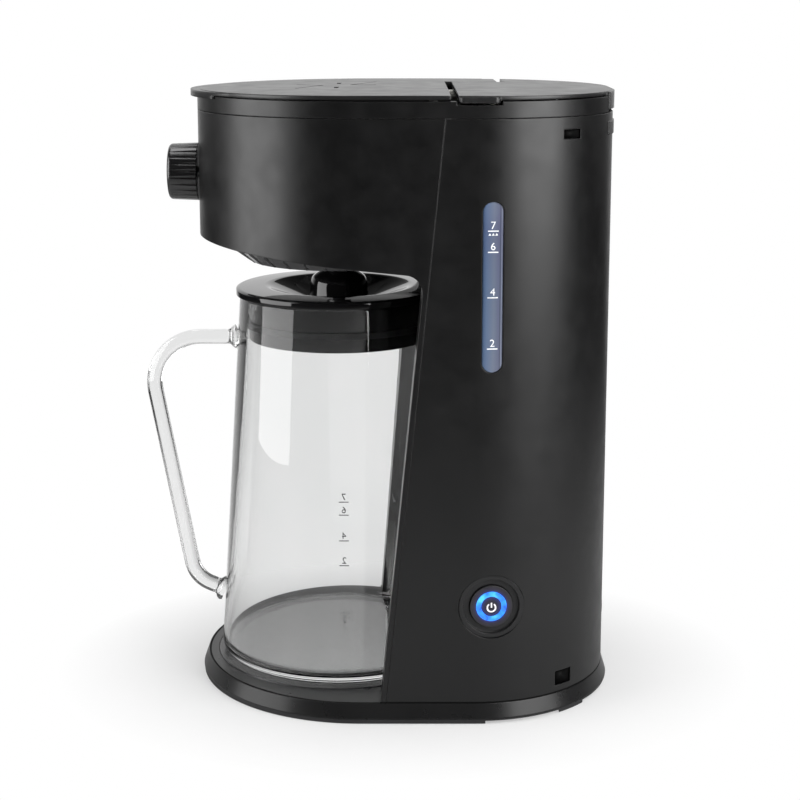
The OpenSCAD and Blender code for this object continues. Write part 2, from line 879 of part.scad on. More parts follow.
module top_collar() color("#222325") {
  difference() {
    union() {
      plan_wall(0, -collar_t, collar_z, collar_top);
      intersection() {
        prism(-collar_t / 2, collar_z, collar_z + web_t);
        translate([web_front, -far / 2, 0]) cube([web_rear - web_front, far, far]);
      }
      front_hinge_lugs();
    }
    translate([ear_x - tab_gap, -half_w - tab_depth, lid_z + lid_t - tab_h - tab_gap])
      cube([tab_w + 2 * tab_gap, tab_depth + collar_t + cut, far]);
    translate([rear_x, -rear_cover_w - rear_slot_side, 0])
      cube([far, 2 * (rear_cover_w + rear_slot_side), far]);
    translate([pipe_x, heater_r, 0]) cylinder(far, spout_base_r + fit, spout_base_r + fit);
  }
  for (s = [-1, 1]) snap_tongue(s, seam_z - hook_top_drop - hook_hole_h, collar_z + collar_t,
    seam_z - hook_top_drop - hook_hole_h / 2, hook_hole_h);
}

// Two lugs on the collar's web that hold the front hinge pin
module front_hinge_lugs() {
  for (y = [front_lug_y, front_lug_end - front_lug_w]) translate([front_hinge_x, y, 0])
    difference() {
      union() {
        translate([-front_lug_r, 0, collar_z])
          cube([2 * front_lug_r, front_lug_w, front_hinge_up]);
        translate([0, front_lug_w, front_hinge_z]) rotate([90, 0, 0])
          cylinder(front_lug_w, front_lug_r, front_lug_r);
      }
      translate([0, front_lug_w + cut, front_hinge_z]) rotate([90, 0, 0])
        cylinder(front_lug_w + 2 * cut, front_pin_r + bore_fit, front_pin_r + bore_fit);
    }
}

// Lids

// Shallow domed body that both lids are cut from
module lid_dome() {
  translate([mid_x, 0, lid_z]) rotate_extrude() polygon([
    [0, 0], [0, lid_t + lid_crown], [lid_dome_r * 0.3, lid_t + lid_crown * 0.92],
    [lid_dome_r * 0.6, lid_t + lid_crown * 0.66], [lid_dome_r * 0.85, lid_t + lid_crown * 0.28],
    [lid_dome_r, lid_t], [lid_dome_r, 0]]);
}

module front_lid_plan(g) {
  intersection() {
    plan(-lid_inset + g);
    union() {
      translate([-far, -far / 2]) square([far + near_x, far]);
      translate([-far, split_y + split_line]) square([far + far_x, far]);
    }
  }
}

module front_lid() color("#2a2b2d") {
  difference() {
    union() {
      intersection() {
        lid_dome();
        translate([0, 0, lid_z - cut]) linear_extrude(far) front_lid_plan(0);
      }
      // Finger lip over the nose
      difference() {
        translate([x_front - lip_reach + lip_r, 0, lid_z + lid_t - lip_h]) cylinder(lip_h, lip_r, lip_r);
        prism(lip_gap, lid_z - far, lid_z);
        translate([x_front + lip_r, -far / 2, 0]) cube(far);
      }
      // Locating rib inside the collar
      intersection() {
        plan_wall(-collar_t - rib_gap, -collar_t - rib_gap - rib_t, lid_z - rib_h, lid_z + lid_t / 2);
        translate([-far, -far / 2, 0]) cube([far + near_x - rib_short, far, far]);
      }
      front_knuckle();
    }
    // Steam slots
    for (s = [-1, 1]) translate([jug_x - steam_w / 2, s * steam_y - steam_len / 2, lid_z - cut])
      cube([steam_w, steam_len, far]);
    // Rear corner that swings down inside the collar
    translate([front_hinge_x - corner_cut, corner_y, lid_z - cut]) cube(far);
    translate([front_hinge_x, far / 2, front_hinge_z]) rotate([90, 0, 0])
      cylinder(far, front_pin_r + pin_clear, front_pin_r + pin_clear);
  }
}

// Moving knuckle of the front hinge under the lid's ear
module front_knuckle() {
  y0 = front_lug_y + front_lug_w + lug_side;
  w = front_lug_end - front_lug_w - lug_side - y0;
  translate([front_hinge_x, y0, front_hinge_z]) {
    translate([0, w, 0]) rotate([90, 0, 0]) cylinder(w, front_knuckle_r, front_knuckle_r);
    translate([-front_knuckle_r, 0, 0])
      cube([front_knuckle_r + front_hinge_in, w, lid_z - front_hinge_z + lid_t / 2]);
  }
}

// Plan of the spray plate with its channel towards the spout, with the walls drawn in by g and t
module spray_plan(g, t, past) {
  circle(spray_r - g);
  rotate(spout_turn) translate([0, -channel_w / 2 + t]) square([channel_end + past, channel_w - 2 * t]);
}

module spray_plate() color("#d9dad6") translate([jug_x, 0, lid_z - spray_h]) {
  linear_extrude(spray_t) difference() {
    spray_plan(0, 0, 0);
    for (k = [0:2], i = [1:6 * (k + 1)]) rotate(i * 60 / (k + 1)) translate([spray_rings[k], 0])
      circle(spray_hole_r, $fn = 24);
  }
  linear_extrude(spray_h) difference() {
    spray_plan(0, 0, 0);
    spray_plan(spray_wall, spray_t, cut);
  }
}

module front_hinge_pin() color("#b9bcc0")
  translate([front_hinge_x, front_lug_end, front_hinge_z]) rotate([90, 0, 0])
    cylinder(front_lug_end - front_lug_y, front_pin_r, front_pin_r);

module rear_lid_plan() {
  intersection() {
    plan(-lid_inset);
    difference() {
      translate([ear_x, -far / 2]) square([far, far]);
      translate([-far, split_y - split_line]) square([far + far_x + split_slot, far]);
    }
  }
}

module rear_lid() color("#2a2b2d") difference() {
  union() {
    intersection() {
      lid_dome();
      translate([0, 0, lid_z - cut]) linear_extrude(far) rear_lid_plan();
    }
    // Finger tab over the collar's near edge
    translate([ear_x, -half_w, lid_z + lid_t - tab_h]) finger_tab();
    // Skirt that carries the rear hinge
    rear_band(rear_hinge_out, -cover_t_in, rear_hinge_z + rear_knuckle_r + hinge_skirt_gap, lid_z + lid_t);
    translate([rear_hinge_x, rear_knuckle_w, rear_hinge_z]) rotate([90, 0, 0])
      cylinder(2 * rear_knuckle_w, rear_knuckle_r, rear_knuckle_r);
    translate([rear_hinge_x - hinge_web_t / 2, -rear_knuckle_w, rear_hinge_z])
      cube([hinge_web_t, 2 * rear_knuckle_w, rear_knuckle_r + hinge_skirt_gap + cut]);
  }
  translate([rear_hinge_x, far / 2, rear_hinge_z]) rotate([90, 0, 0])
    cylinder(far, rear_pin_r + pin_clear, rear_pin_r + pin_clear);
}

// Tab with rounded front corners
module finger_tab() {
  r = tab_round;
  linear_extrude(tab_h) {
    translate([r, 0]) square([tab_w - 2 * r, tab_depth]);
    translate([0, r]) square([tab_w, tab_depth - r]);
    for (x = [r, tab_w - r]) translate([x, r]) circle(r);
  }
}

module rear_hinge_pin() color("#b9bcc0")
  translate([rear_hinge_x, rear_hinge_w, rear_hinge_z]) rotate([90, 0, 0])
    cylinder(2 * rear_hinge_w, rear_pin_r, rear_pin_r);

// Water tank and window

// Plan of the tank, drawn in by g
module tank_plan(g) {
  difference() {
    intersection() {
      plan(-wall - tank_gap - g);
      translate([corner_x + tank_behind + g, -far / 2]) square([far, far]);
    }
    translate([jug_x, 0]) circle(bay_r + wall + wall + g);
  }
}

module water_tank() color("#6d747c") {
  difference() {
    translate([0, 0, tank_z]) linear_extrude(tank_top - tank_z) tank_plan(0);
    difference() {
      translate([0, 0, tank_z + tank_floor]) linear_extrude(far) tank_plan(tank_t);
      translate([pipe_x, heater_r, 0])
        cylinder(far, hose_r + tunnel_gap + tank_t, hose_r + tunnel_gap + tank_t);
    }
    translate([pipe_x, heater_r, 0]) cylinder(far, hose_r + tunnel_gap, hose_r + tunnel_gap);
    translate([pipe_x, -heater_r, 0]) cylinder(far, stub_bore, stub_bore);
  }
  translate([pipe_x, -heater_r, tank_z - spigot_len]) tube(spigot_len + tank_t / 2, stub_r, stub_bore);
}

module tank_strainer() color("#c9c9c4")
  translate([pipe_x, -heater_r, tank_z + tank_floor]) difference() {
    cylinder(strainer_h, strainer_r, strainer_r - strainer_taper);
    translate([0, 0, -cut]) cylinder(strainer_h - strainer_t + cut,
      strainer_r - strainer_t, strainer_r - strainer_taper - strainer_t);
    for (i = [1:strainer_slots]) rotate(i * 360 / strainer_slots)
      translate([strainer_t, -strainer_slot_w / 2, 0])
        cube([strainer_slot, strainer_slot_w, strainer_h + cut]);
  }

module level_window() color("#6e7a96", 0.6) {
  intersection() {
    plan_wall(-window_sink, -wall - window_flange_t, window_z - far / 4, window_z + far / 4);
    wall_slot(window_w, window_h);
  }
  intersection() {
    plan_wall(-wall, -wall - window_flange_t, window_z - far / 4, window_z + far / 4);
    wall_slot(window_w + 2 * window_flange, window_h + 2 * window_flange);
  }
}

module cord_gland() color("#141414") translate([x_rear, 0, gland_z]) rotate([0, 90, 0]) difference() {
  union() {
    translate([0, 0, -wall - gland_in]) cylinder(wall + gland_in, gland_r, gland_r);
    cylinder(gland_out, gland_flange, gland_flange - gland_bevel);
  }
  translate([0, 0, -reach_in]) cylinder(2 * reach_in, gland_bore, gland_bore);
}

// Power button

module button_bezel() color("#1a1b1c") at_button() difference() {
  translate([0, 0, bezel_face - bezel_len]) cylinder(bezel_len, bezel_r, bezel_r);
  translate([0, 0, lip_top]) cylinder(bezel_face - lip_top + cut, recess_r, recess_r + recess_flare);
  translate([0, 0, -far / 2]) cylinder(far, lip_r_in, lip_r_in);
  translate([0, 0, -far / 2]) cylinder(far / 2 + lip_top - lip_t, bezel_bore, bezel_bore);
  board_screw_spots() translate([0, 0, bezel_face - bezel_len - cut])
    cylinder(board_screw_len + cut + touch, board_screw_r + thread_clear, board_screw_r + thread_clear);
}

module power_button() color("#17181a") at_button() difference() {
  union() {
    translate([0, 0, flange_z]) cylinder(cap_face - flange_z, cap_r, cap_r);
    translate([0, 0, flange_z - flange_h]) cylinder(flange_h, flange_r, flange_r);
    translate([0, 0, flange_z - flange_h - stem_len]) cylinder(stem_len, button_stem_r, button_stem_r);
  }
  translate([0, 0, cap_face - led_depth]) tube(led_depth + cut, led_out + led_fit, led_in - led_fit);
}

module led_ring() color("#2f7bff") at_button()
  translate([0, 0, cap_face - led_depth]) tube(led_depth, led_out, led_in);

module power_board() color("#2f6b3a") at_button() difference() {
  translate([-board_w / 2, -board_h / 2, bezel_face - bezel_len - board_t])
    cube([board_w, board_h, board_t]);
  board_screw_spots() translate([0, 0, -far / 10])
    cylinder(far / 10, board_screw_r + hole_clear, board_screw_r + hole_clear);
}

module board_screws() color("#8d9094") at_button() board_screw_spots()
  translate([0, 0, bezel_face - bezel_len - board_t]) {
    translate([0, 0, -board_head_h]) cylinder(board_head_h, board_head_r, board_head_r);
    cylinder(board_t + board_screw_len, board_screw_r, board_screw_r);
  }

module board_screw_spots() {
  for (a = [90, 210, 330]) rotate(a) translate([(bezel_r + bezel_bore) / 2, 0, 0]) children();
}

module tact_switch() color("#3a3b3d") at_button() translate([0, 0, bezel_face - bezel_len]) {
  translate([-switch_w / 2, -switch_w / 2, 0]) cube([switch_w, switch_w, switch_h]);
  cylinder(plunger_top(), plunger_r, plunger_r);
}

// Height of the switch's plunger over the board, clear of the pressed button
function plunger_top() =
  flange_z - flange_h - stem_len - button_travel - touch - bezel_face + bezel_len;

// Water path

module heater() color("#a9adb1") translate([heater_x, 0, heater_z]) {
  rotate(-90) rotate_extrude(angle = 180) translate([heater_r, 0]) difference() {
    union() {
      circle(heater_tube_r);
      translate([0, -rod_drop]) circle(rod_r);
      translate([-heater_web / 2, -rod_drop]) square([heater_web, rod_drop]);
    }
    circle(heater_bore);
  }
  for (s = [-1, 1]) translate([-stub_len, s * heater_r, 0]) rotate([0, 90, 0])
    tube(stub_len, stub_r, stub_bore);
  // Flat seat for the thermostat
  difference() {
    translate([heater_r - pad_block_in, -pad_block_w / 2, 0]) cube([pad_block_len, pad_block_w, pad_block_h]);
    rotate(-90) rotate_extrude(angle = 180) translate([heater_r, 0]) circle(heater_bore);
  }
}

module heater_bracket() color("#b4b6b8") {
  difference() {
    translate([heater_x - bracket_ahead, -heater_r - bracket_side, base_h])
      cube([bracket_ahead + heater_r + bracket_behind, 2 * (heater_r + bracket_side), bracket_t]);
    for (s = [-1, 1]) translate([heater_x, s * bracket_screw_y, 0])
      cylinder(far / 10, bracket_screw_r + hole_clear, bracket_screw_r + hole_clear);
  }
  for (a = [-60, 0, 60]) translate([heater_x, 0, base_h]) rotate(a)
    translate([heater_r - post_len / 2, -post_w / 2, 0])
      cube([post_len, post_w, heater_z - rod_drop - rod_r - touch - base_h]);
}

module bracket_screws() color("#8d9094")
  for (s = [-1, 1]) translate([heater_x, s * bracket_screw_y, base_h + bracket_t]) {
    translate([0, 0, hollow_z - base_h - bracket_t])
      cylinder(bracket_t + base_h - hollow_z + cut, bracket_screw_r, bracket_screw_r);
    difference() {
      cylinder(bracket_head_h, bracket_head_r, bracket_head_r);
      for (a = [0, 90]) rotate(a)
        translate([-bracket_slot / 2, -bracket_slot_w / 2, bracket_head_h - bracket_slot_w])
          cube([bracket_slot, bracket_slot_w, cut]);
    }
  }

module thermostat() color("#d0cdc4")
  translate([heater_x + heater_r - thermo_in, 0, heater_z + pad_block_h]) {
    cylinder(thermo_h, thermo_r - thermo_flange, thermo_r - thermo_flange);
    cylinder(thermo_flange, thermo_r, thermo_r);
    for (s = [-1, 1]) translate([-thermo_tab_t / 2, s * thermo_tab_y - thermo_tab_w / 2, thermo_h])
      cube([thermo_tab_t, thermo_tab_w, thermo_tab_h]);
  }

module check_valve() color("#e4e2da") translate([pipe_x, -heater_r, valve_z]) difference() {
  union() {
    cylinder(check_h, check_r, check_r);
    translate([0, 0, -check_stub]) cylinder(check_h + 2 * check_stub, stub_r, stub_r);
  }
  translate([0, 0, -far / 2]) cylinder(far, stub_bore, stub_bore);
}

// Hose from a heater stub, round the bend and up to z1, on side s
module bent_hose(s, z1) {
  bore = stub_r + hose_fit;
  translate([heater_x - stub_len, s * heater_r, heater_z]) {
    rotate([0, 90, 0]) tube(stub_len - hose_short, hose_r, bore);
    translate([0, 0, bend_r]) rotate([90, 0, 0]) rotate(180) rotate_extrude(angle = 90)
      translate([bend_r, 0]) difference() {
        circle(hose_r);
        circle(bore);
      }
    translate([-bend_r, 0, bend_r]) tube(z1 - heater_z - bend_r, hose_r, bore);
  }
}

module inlet_hose() color("#e8e6df", 0.8) bent_hose(-1, valve_z - hose_end);

module feed_hose() color("#e8e6df", 0.8)
  translate([pipe_x, -heater_r, valve_z + check_h + hose_end])
    tube(tank_z - valve_z - check_h - 2 * hose_end, hose_r, stub_r + hose_fit);

module riser_hose() color("#e8e6df", 0.8) bent_hose(1, collar_z - hose_end);

module hose_clamps() color("#9a9da1") {
  for (s = [-1, 1]) translate([heater_x - stub_len + clamp_in, s * heater_r, heater_z])
    rotate([0, 90, 0]) hose_clamp();
  for (z = [valve_z - check_stub + clamp_in, valve_z + check_h + clamp_up, tank_z - clamp_down])
    translate([pipe_x, -heater_r, z]) hose_clamp();
}

module hose_clamp() {
  tube(clamp_w, hose_r + clamp_gap + clamp_t, hose_r + clamp_gap);
}

module water_spout() color("#d9dad6") translate([pipe_x, heater_r, 0]) {
  difference() {
    union() {
      translate([0, 0, collar_z - spout_tail]) cylinder(spout_z - collar_z + spout_tail, stub_r, stub_r);
      translate([0, 0, collar_z + web_t]) cylinder(spout_flange_t, spout_flange_r, spout_flange_r);
      translate([0, 0, spout_z - spout_r]) cylinder(2 * spout_r, stub_r, stub_r);
      spout_arm(spout_r, 0);
    }
    translate([0, 0, collar_z - spout_tail - cut])
      cylinder(spout_z - collar_z + spout_tail + cut, stub_bore, stub_bore);
    spout_arm(spout_bore, cut);
  }
}

// Horizontal arm of the spout, towards the jug's axis
module spout_arm(r, past) {
  reach = norm([pipe_x - jug_x, heater_r]) - spout_end;
  translate([0, 0, spout_z]) rotate([0, 0, spout_turn]) rotate([0, -90, 0]) cylinder(reach + past, r, r);
}

// Brew basket, filter and valve

module brew_basket() color("#232426") difference() {
  union() {
    translate([jug_x, 0, 0]) {
      rotate_extrude() difference() {
        polygon([[0, basket_z], [basket_foot_r, basket_z], [basket_neck_r, basket_cone_z],
          [basket_neck_r, seat_z], [basket_r, seat_z], [basket_r, basket_top - basket_rim_t],
          [basket_r + basket_rim_w, basket_top - basket_rim_t], [basket_r + basket_rim_w, basket_top],
          [0, basket_top]]);
        polygon([[-cut, basket_floor_z], [basket_foot_r - basket_t, basket_floor_z],
          [basket_neck_r - basket_t, basket_cone_z], [basket_neck_r - basket_t, basket_step_z],
          [basket_r - basket_t, basket_step_z], [basket_r - basket_t, basket_top + cut],
          [-cut, basket_top + cut]]);
      }
      translate([0, 0, nozzle_z]) cylinder(nozzle_len + cut, nozzle_r - nozzle_taper, nozzle_r);
      for (i = [1:basket_ribs]) rotate(i * 360 / basket_ribs) basket_rib();
    }
    translate([boss_x, 0, knob_z]) rotate([0, 90, 0]) difference() {
      cylinder(boss_out + boss_sink, boss_r, boss_r);
      translate([0, 0, -cut]) cylinder(2 * cut, shaft_r + cut, shaft_r + cut);
    }
  }
  translate([jug_x, 0, 0]) {
    translate([0, 0, nozzle_z - cut])
      cylinder(nozzle_len + basket_floor_t + 2 * cut, stem_r + stem_clear, stem_r + stem_clear);
    translate([0, 0, basket_step_z]) cylinder(far, basket_r - basket_t, basket_r - basket_t);
  }
  translate([boss_x - cut, port_off, knob_z]) rotate([0, 90, 0]) cylinder(2 * reach_in, port_r, port_r);
}

// One rib on the cone under the basket
module basket_rib() {
  translate([0, basket_rib_t / 2, 0]) rotate([90, 0, 0]) linear_extrude(basket_rib_t)
    polygon([[basket_foot_r - basket_rib_in, basket_z], [basket_foot_r + basket_rib_out, basket_z],
      [basket_neck_r, basket_cone_z - basket_rib_in], [basket_neck_r, basket_cone_z]]);
}

module filter_frame() color("#2d2e30") translate([jug_x, 0, 0]) {
  r = basket_r - basket_t - filter_gap;
  window_tall = basket_top - filter_top - filter_z - filter_band - filter_band_top;
  difference() {
    rotate_extrude() polygon([[filter_foot_r - filter_lip, filter_z], [filter_foot_r, filter_z],
      [r, basket_top - filter_top], [r, basket_top], [basket_r, basket_top],
      [basket_r, basket_top + filter_rim_h], [r - filter_t, basket_top + filter_rim_h],
      [r - filter_t, basket_top - filter_top], [filter_foot_r - filter_t, filter_z + filter_t],
      [filter_foot_r - filter_lip, filter_z + filter_t]]);
    for (i = [1:filter_windows]) rotate((i + 0.5) * 360 / filter_windows)
      translate([filter_foot_r - filter_lip, -filter_window_w / 2, filter_z + filter_band])
        cube([basket_r, filter_window_w, window_tall]);
  }
}

module filter_mesh() color("#b9b6ac") translate([jug_x, 0, 0]) {
  top_r = basket_r - basket_t - filter_gap - filter_t - mesh_gap;
  low_r = filter_foot_r - filter_t - mesh_gap;
  low_z = filter_z + filter_t + mesh_gap;
  top_z = basket_top - filter_top;
  rotate_extrude() polygon([[0, low_z], [low_r, low_z], [top_r, top_z], [top_r - mesh_t, top_z],
    [low_r - mesh_t, low_z + mesh_t], [0, low_z + mesh_t]]);
}

module drip_valve() color("#3a3b3d") translate([jug_x, 0, 0]) {
  translate([0, 0, stem_z]) cylinder(valve_disc_z - stem_z, stem_r, stem_r);
  translate([0, 0, valve_disc_z]) cylinder(valve_disc_h, valve_disc_r, valve_disc_r);
  translate([0, 0, valve_disc_z + valve_disc_h])
    cylinder(cage_z - valve_disc_z - valve_disc_h + pin_over, valve_pin_r, valve_pin_r);
}

module valve_spring() color("#c4c7ca") {
  z0 = valve_disc_z + valve_disc_h + spring_wire + spring_seat;
  z1 = cage_z - spring_wire - spring_seat;
  translate([jug_x, 0, z0]) helix(spring_r, spring_wire, spring_turns, z1 - z0);
}

module valve_cage() color("#2d2e30") translate([jug_x, 0, basket_floor_z]) difference() {
  union() {
    tube(cage_h, cage_r, cage_r - cage_t);
    translate([0, 0, cage_h]) tube(cage_roof, cage_r, valve_pin_r + touch);
  }
  for (a = [0, 90]) rotate(a) translate([-cage_r - cut, -cage_port_w / 2, -cut])
    cube([2 * (cage_r + cut), cage_port_w, cage_port_h]);
}

// Strength knob

module strength_knob() color("#1b1c1e") translate([x_front - knob_gap, 0, knob_z]) rotate([0, -90, 0])
  difference() {
    intersection() {
      linear_extrude(knob_len) difference() {
        circle(knob_d / 2);
        for (i = [1:knob_flutes]) rotate(i * 360 / knob_flutes)
          translate([knob_d / 2 + flute_out, 0]) circle(flute_r, $fn = 24);
      }
      rotate_extrude() {
        polygon([[0, 0], [knob_d / 2, 0], [knob_d / 2 - knob_taper, knob_len - knob_round],
          [knob_d / 2 - knob_round, knob_len - knob_taper], [0, knob_len]]);
        translate([knob_d / 2 - knob_round, knob_len - knob_round]) circle(knob_round - knob_taper);
      }
    }
    translate([0, 0, -cut]) cylinder(shaft_seat + cut, shaft_r + bore_fit, shaft_r + bore_fit);
  }

module knob_shaft() color("#b9bcc0") translate([x_front - shaft_seat, 0, knob_z]) rotate([0, 90, 0])
  cylinder(disc_x - x_front + shaft_seat - shaft_short, shaft_r, shaft_r);

module knob_bush() color("#d9d6cc") translate([x_front + bush_in, 0, knob_z]) rotate([0, 90, 0])
  difference() {
    union() {
      cylinder(bush_end - bush_in, bush_r, bush_r);
      translate([0, 0, wall + touch]) cylinder(bush_flange_t, bush_flange_r, bush_flange_r);
    }
    translate([0, 0, -cut]) cylinder(2 * reach_in, shaft_r + pin_clear, shaft_r + pin_clear);
  }

module selector_disc() color("#d9d6cc") translate([disc_x - disc_t, 0, knob_z]) rotate([0, 90, 0])
  difference() {
    cylinder(disc_t, disc_r, disc_r);
    translate([0, 0, -cut]) cylinder(2 * reach_in, shaft_r + bore_fit, shaft_r + bore_fit);
    for (i = [1:3]) rotate(i * 30) translate([0, port_off, -cut])
      cylinder(2 * reach_in, i * port_r / 4, i * port_r / 4);
  }

// Jug

// Outer profile of the glass, from the axis out
module glass_profile() {
  r = foot_round;
  polygon([[0, jug_z], [jug_foot_r - r, jug_z], [jug_foot_r, jug_z + r], [jug_mouth_r, jug_top],
    [0, jug_top]]);
  translate([jug_foot_r - r, jug_z + r]) circle(r);
}

module glass_body() {
  translate([jug_x, 0, 0]) rotate_extrude() intersection() {
    glass_profile();
    translate([0, jug_z]) square([far, jug_h]);
  }
}

module jug_glass() color("#dfe6e8", 0.35) difference() {
  glass_body();
  translate([jug_x, 0, 0]) rotate_extrude() polygon([[0, jug_z + glass_floor],
    [jug_foot_r - glass_t - inner_round, jug_z + glass_floor],
    [jug_foot_r - glass_t, jug_z + glass_floor + inner_rise],
    [mouth_inner, jug_top + bore_fit], [0, jug_top + bore_fit]]);
}

module jug_handle() color("#dfe6e8", 0.35) difference() {
  union() {
    translate([grip_x, 0, arm_z]) rotate([0, 90, 0]) cylinder(jug_x - grip_x, handle_r, handle_r);
    translate([grip_x, 0, arm_z - handle_bend]) rotate([90, 0, 0]) rotate(90)
      rotate_extrude(angle = 90 + handle_lean) translate([handle_bend, 0]) circle(handle_r);
    translate([grip_low[0], 0, grip_low[1]]) rotate([0, -handle_lean, 0])
      cylinder(grip_len, handle_r, handle_r);
    translate([foot_c[0], 0, foot_c[1]]) rotate([90, 0, 0]) rotate(180 + handle_lean)
      rotate_extrude(angle = 90 - handle_lean) translate([handle_foot_bend, 0]) circle(handle_r);
    translate([foot_c[0], 0, low_z]) rotate([0, 90, 0]) cylinder(jug_x - foot_c[0], handle_r, handle_r);
    rod_core([grip_x, arm_z], 90);
    rod_core(grip_top, -handle_lean);
    rod_core(grip_low, -handle_lean);
    rod_core([foot_c[0], low_z], 90);
    rod_root(arm_z);
    rod_root(low_z);
  }
  glass_body();
}

// Swelling of the rod where it is fused to the glass
module rod_root(z) {
  glass_x = jug_x - jug_foot_r + taper * (z - jug_z - foot_round);
  translate([glass_x - root_len, 0, z]) rotate([0, 90, 0])
    cylinder(root_len + glass_t, handle_r - rod_skin, root_r);
}

// Short core inside the rod where a bend meets a straight
module rod_core(p, turn) {
  translate([p[0], 0, p[1]]) rotate([0, turn, 0]) translate([0, 0, -cut])
    cylinder(2 * cut, handle_r - rod_skin, handle_r - rod_skin);
}

module jug_lid() color("#121314") translate([jug_x, 0, 0]) difference() {
  rotate_extrude() difference() {
    union() {
      polygon([[0, funnel_low - funnel_t], [skirt_r, funnel_low - funnel_t], [skirt_r, jug_lid_z],
        [jug_lid_r, jug_lid_z], [jug_lid_r, jug_lid_top - lid_edge], [jug_lid_r - lid_edge, jug_lid_top],
        [funnel_r, jug_lid_top + funnel_rim], [dome_r + dome_foot, funnel_low], [0, funnel_low]]);
      translate([skirt_r - funnel_t, jug_lid_z - jug_skirt]) square([funnel_t, jug_skirt]);
      polygon([[0, funnel_low - cut], [dome_r, funnel_low - cut], [dome_r, funnel_low + dome_wall],
        [dome_r - dome_lean, dome_z - dome_shoulder], [dome_top_r, dome_z - dome_top_drop], [0, dome_z]]);
    }
    polygon([[-cut, 0], [skirt_r - funnel_t, 0], [skirt_r - funnel_t, funnel_low - funnel_t],
      [dome_r - funnel_t, funnel_low - funnel_t], [dome_r - dome_t, dome_z - dome_shoulder - funnel_t],
      [-cut, dome_z - dome_t]]);
  }
  for (i = [1:lid_slots]) rotate(i * 360 / lid_slots)
    translate([dome_r + lid_slot_in, -lid_slot_w / 2, funnel_low - lid_slot_deep])
      cube([lid_slot_len, lid_slot_w, lid_slot_h]);
}

module lid_gasket() color("#3c3d3f") translate([jug_x, 0, jug_lid_z - gasket_drop])
  tube(gasket_w, mouth_inner + taper * (gasket_drop - touch - gasket_w) - touch, skirt_r + bore_fit);

base_shell();
bottom_cover();
rubber_feet();
cover_screws();
jug_pad();
rear_housing();
head_shell();
bay_liner();
top_collar();
front_lid();
spray_plate();
front_hinge_pin();
rear_lid();
rear_hinge_pin();
water_tank();
tank_strainer();
level_window();
cord_gland();
button_bezel();
power_button();
led_ring();
power_board();
board_screws();
tact_switch();
heater();
heater_bracket();
bracket_screws();
thermostat();
check_valve();
feed_hose();
inlet_hose();
riser_hose();
hose_clamps();
water_spout();
brew_basket();
filter_frame();
filter_mesh();
drip_valve();
valve_spring();
valve_cage();
strength_knob();
knob_shaft();
knob_bush();
selector_disc();
jug_glass();
jug_handle();
jug_lid();
lid_gasket();
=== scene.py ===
import logging
import math
from collections.abc import Callable
from dataclasses import dataclass
from enum import Enum

import bmesh
import bpy
from mathutils import Matrix, Vector


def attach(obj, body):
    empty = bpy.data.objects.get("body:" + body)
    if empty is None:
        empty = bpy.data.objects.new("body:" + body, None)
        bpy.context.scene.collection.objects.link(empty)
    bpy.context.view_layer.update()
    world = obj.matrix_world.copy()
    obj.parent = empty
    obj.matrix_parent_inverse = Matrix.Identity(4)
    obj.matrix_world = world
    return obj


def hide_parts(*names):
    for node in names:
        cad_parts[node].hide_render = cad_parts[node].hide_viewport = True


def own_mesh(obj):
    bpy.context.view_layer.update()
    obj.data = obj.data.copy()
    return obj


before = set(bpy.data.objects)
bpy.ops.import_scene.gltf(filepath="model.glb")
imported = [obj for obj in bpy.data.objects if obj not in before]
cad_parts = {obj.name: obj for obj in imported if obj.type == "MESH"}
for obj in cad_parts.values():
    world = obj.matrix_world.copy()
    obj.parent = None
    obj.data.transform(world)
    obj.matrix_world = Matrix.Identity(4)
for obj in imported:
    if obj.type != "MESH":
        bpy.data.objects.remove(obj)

Point = tuple[float, float]
Triple = tuple[float, float, float]
Stops = tuple[tuple[float, Triple], ...]
Marks = tuple[tuple[str, float], ...]
Socket = bpy.types.NodeSocket
Shape = bmesh.types.BMesh
Rim = list[bmesh.types.BMEdge]

LOG = logging.getLogger("iced_coffee_maker")
MM = 0.001
MERGE = 0.000002
QUARTER = math.pi / 2.0
UP: Triple = (0.0, 0.0, 1.0)
ORIGIN: Triple = (0.0, 0.0, 0.0)
ASIDE: Triple = (0.0, 1.0, 0.0)
EVEN: Triple = (1.0, 1.0, 1.0)
WHITE: Triple = (1.0, 1.0, 1.0)
# Part of a noise's range over which a finish goes from dark to light.
SPAN: Point = (0.3, 0.7)
# Turns a flat strip upright, across a path that runs along X.
ACROSS = Matrix.Rotation(QUARTER, 4, "Z") @ Matrix.Rotation(QUARTER, 4, "X")


class Slot(Enum):
    """Material slots of the record, named with each new piece."""

    BODY = "body_black"
    GLASS = "glass"
    GLOSS = "gloss_black"
    LID = "lid_black"
    STEEL = "steel"
    WHITE = "white_plastic"


class Body(Enum):
    """Moving bodies of the machine that new pieces ride on."""

    MACHINE = "machine"
    FRONT_LID = "front_lid"
    BUTTON = "button"
    JUG = "jug"
    JUG_COVER = "jug_cover"


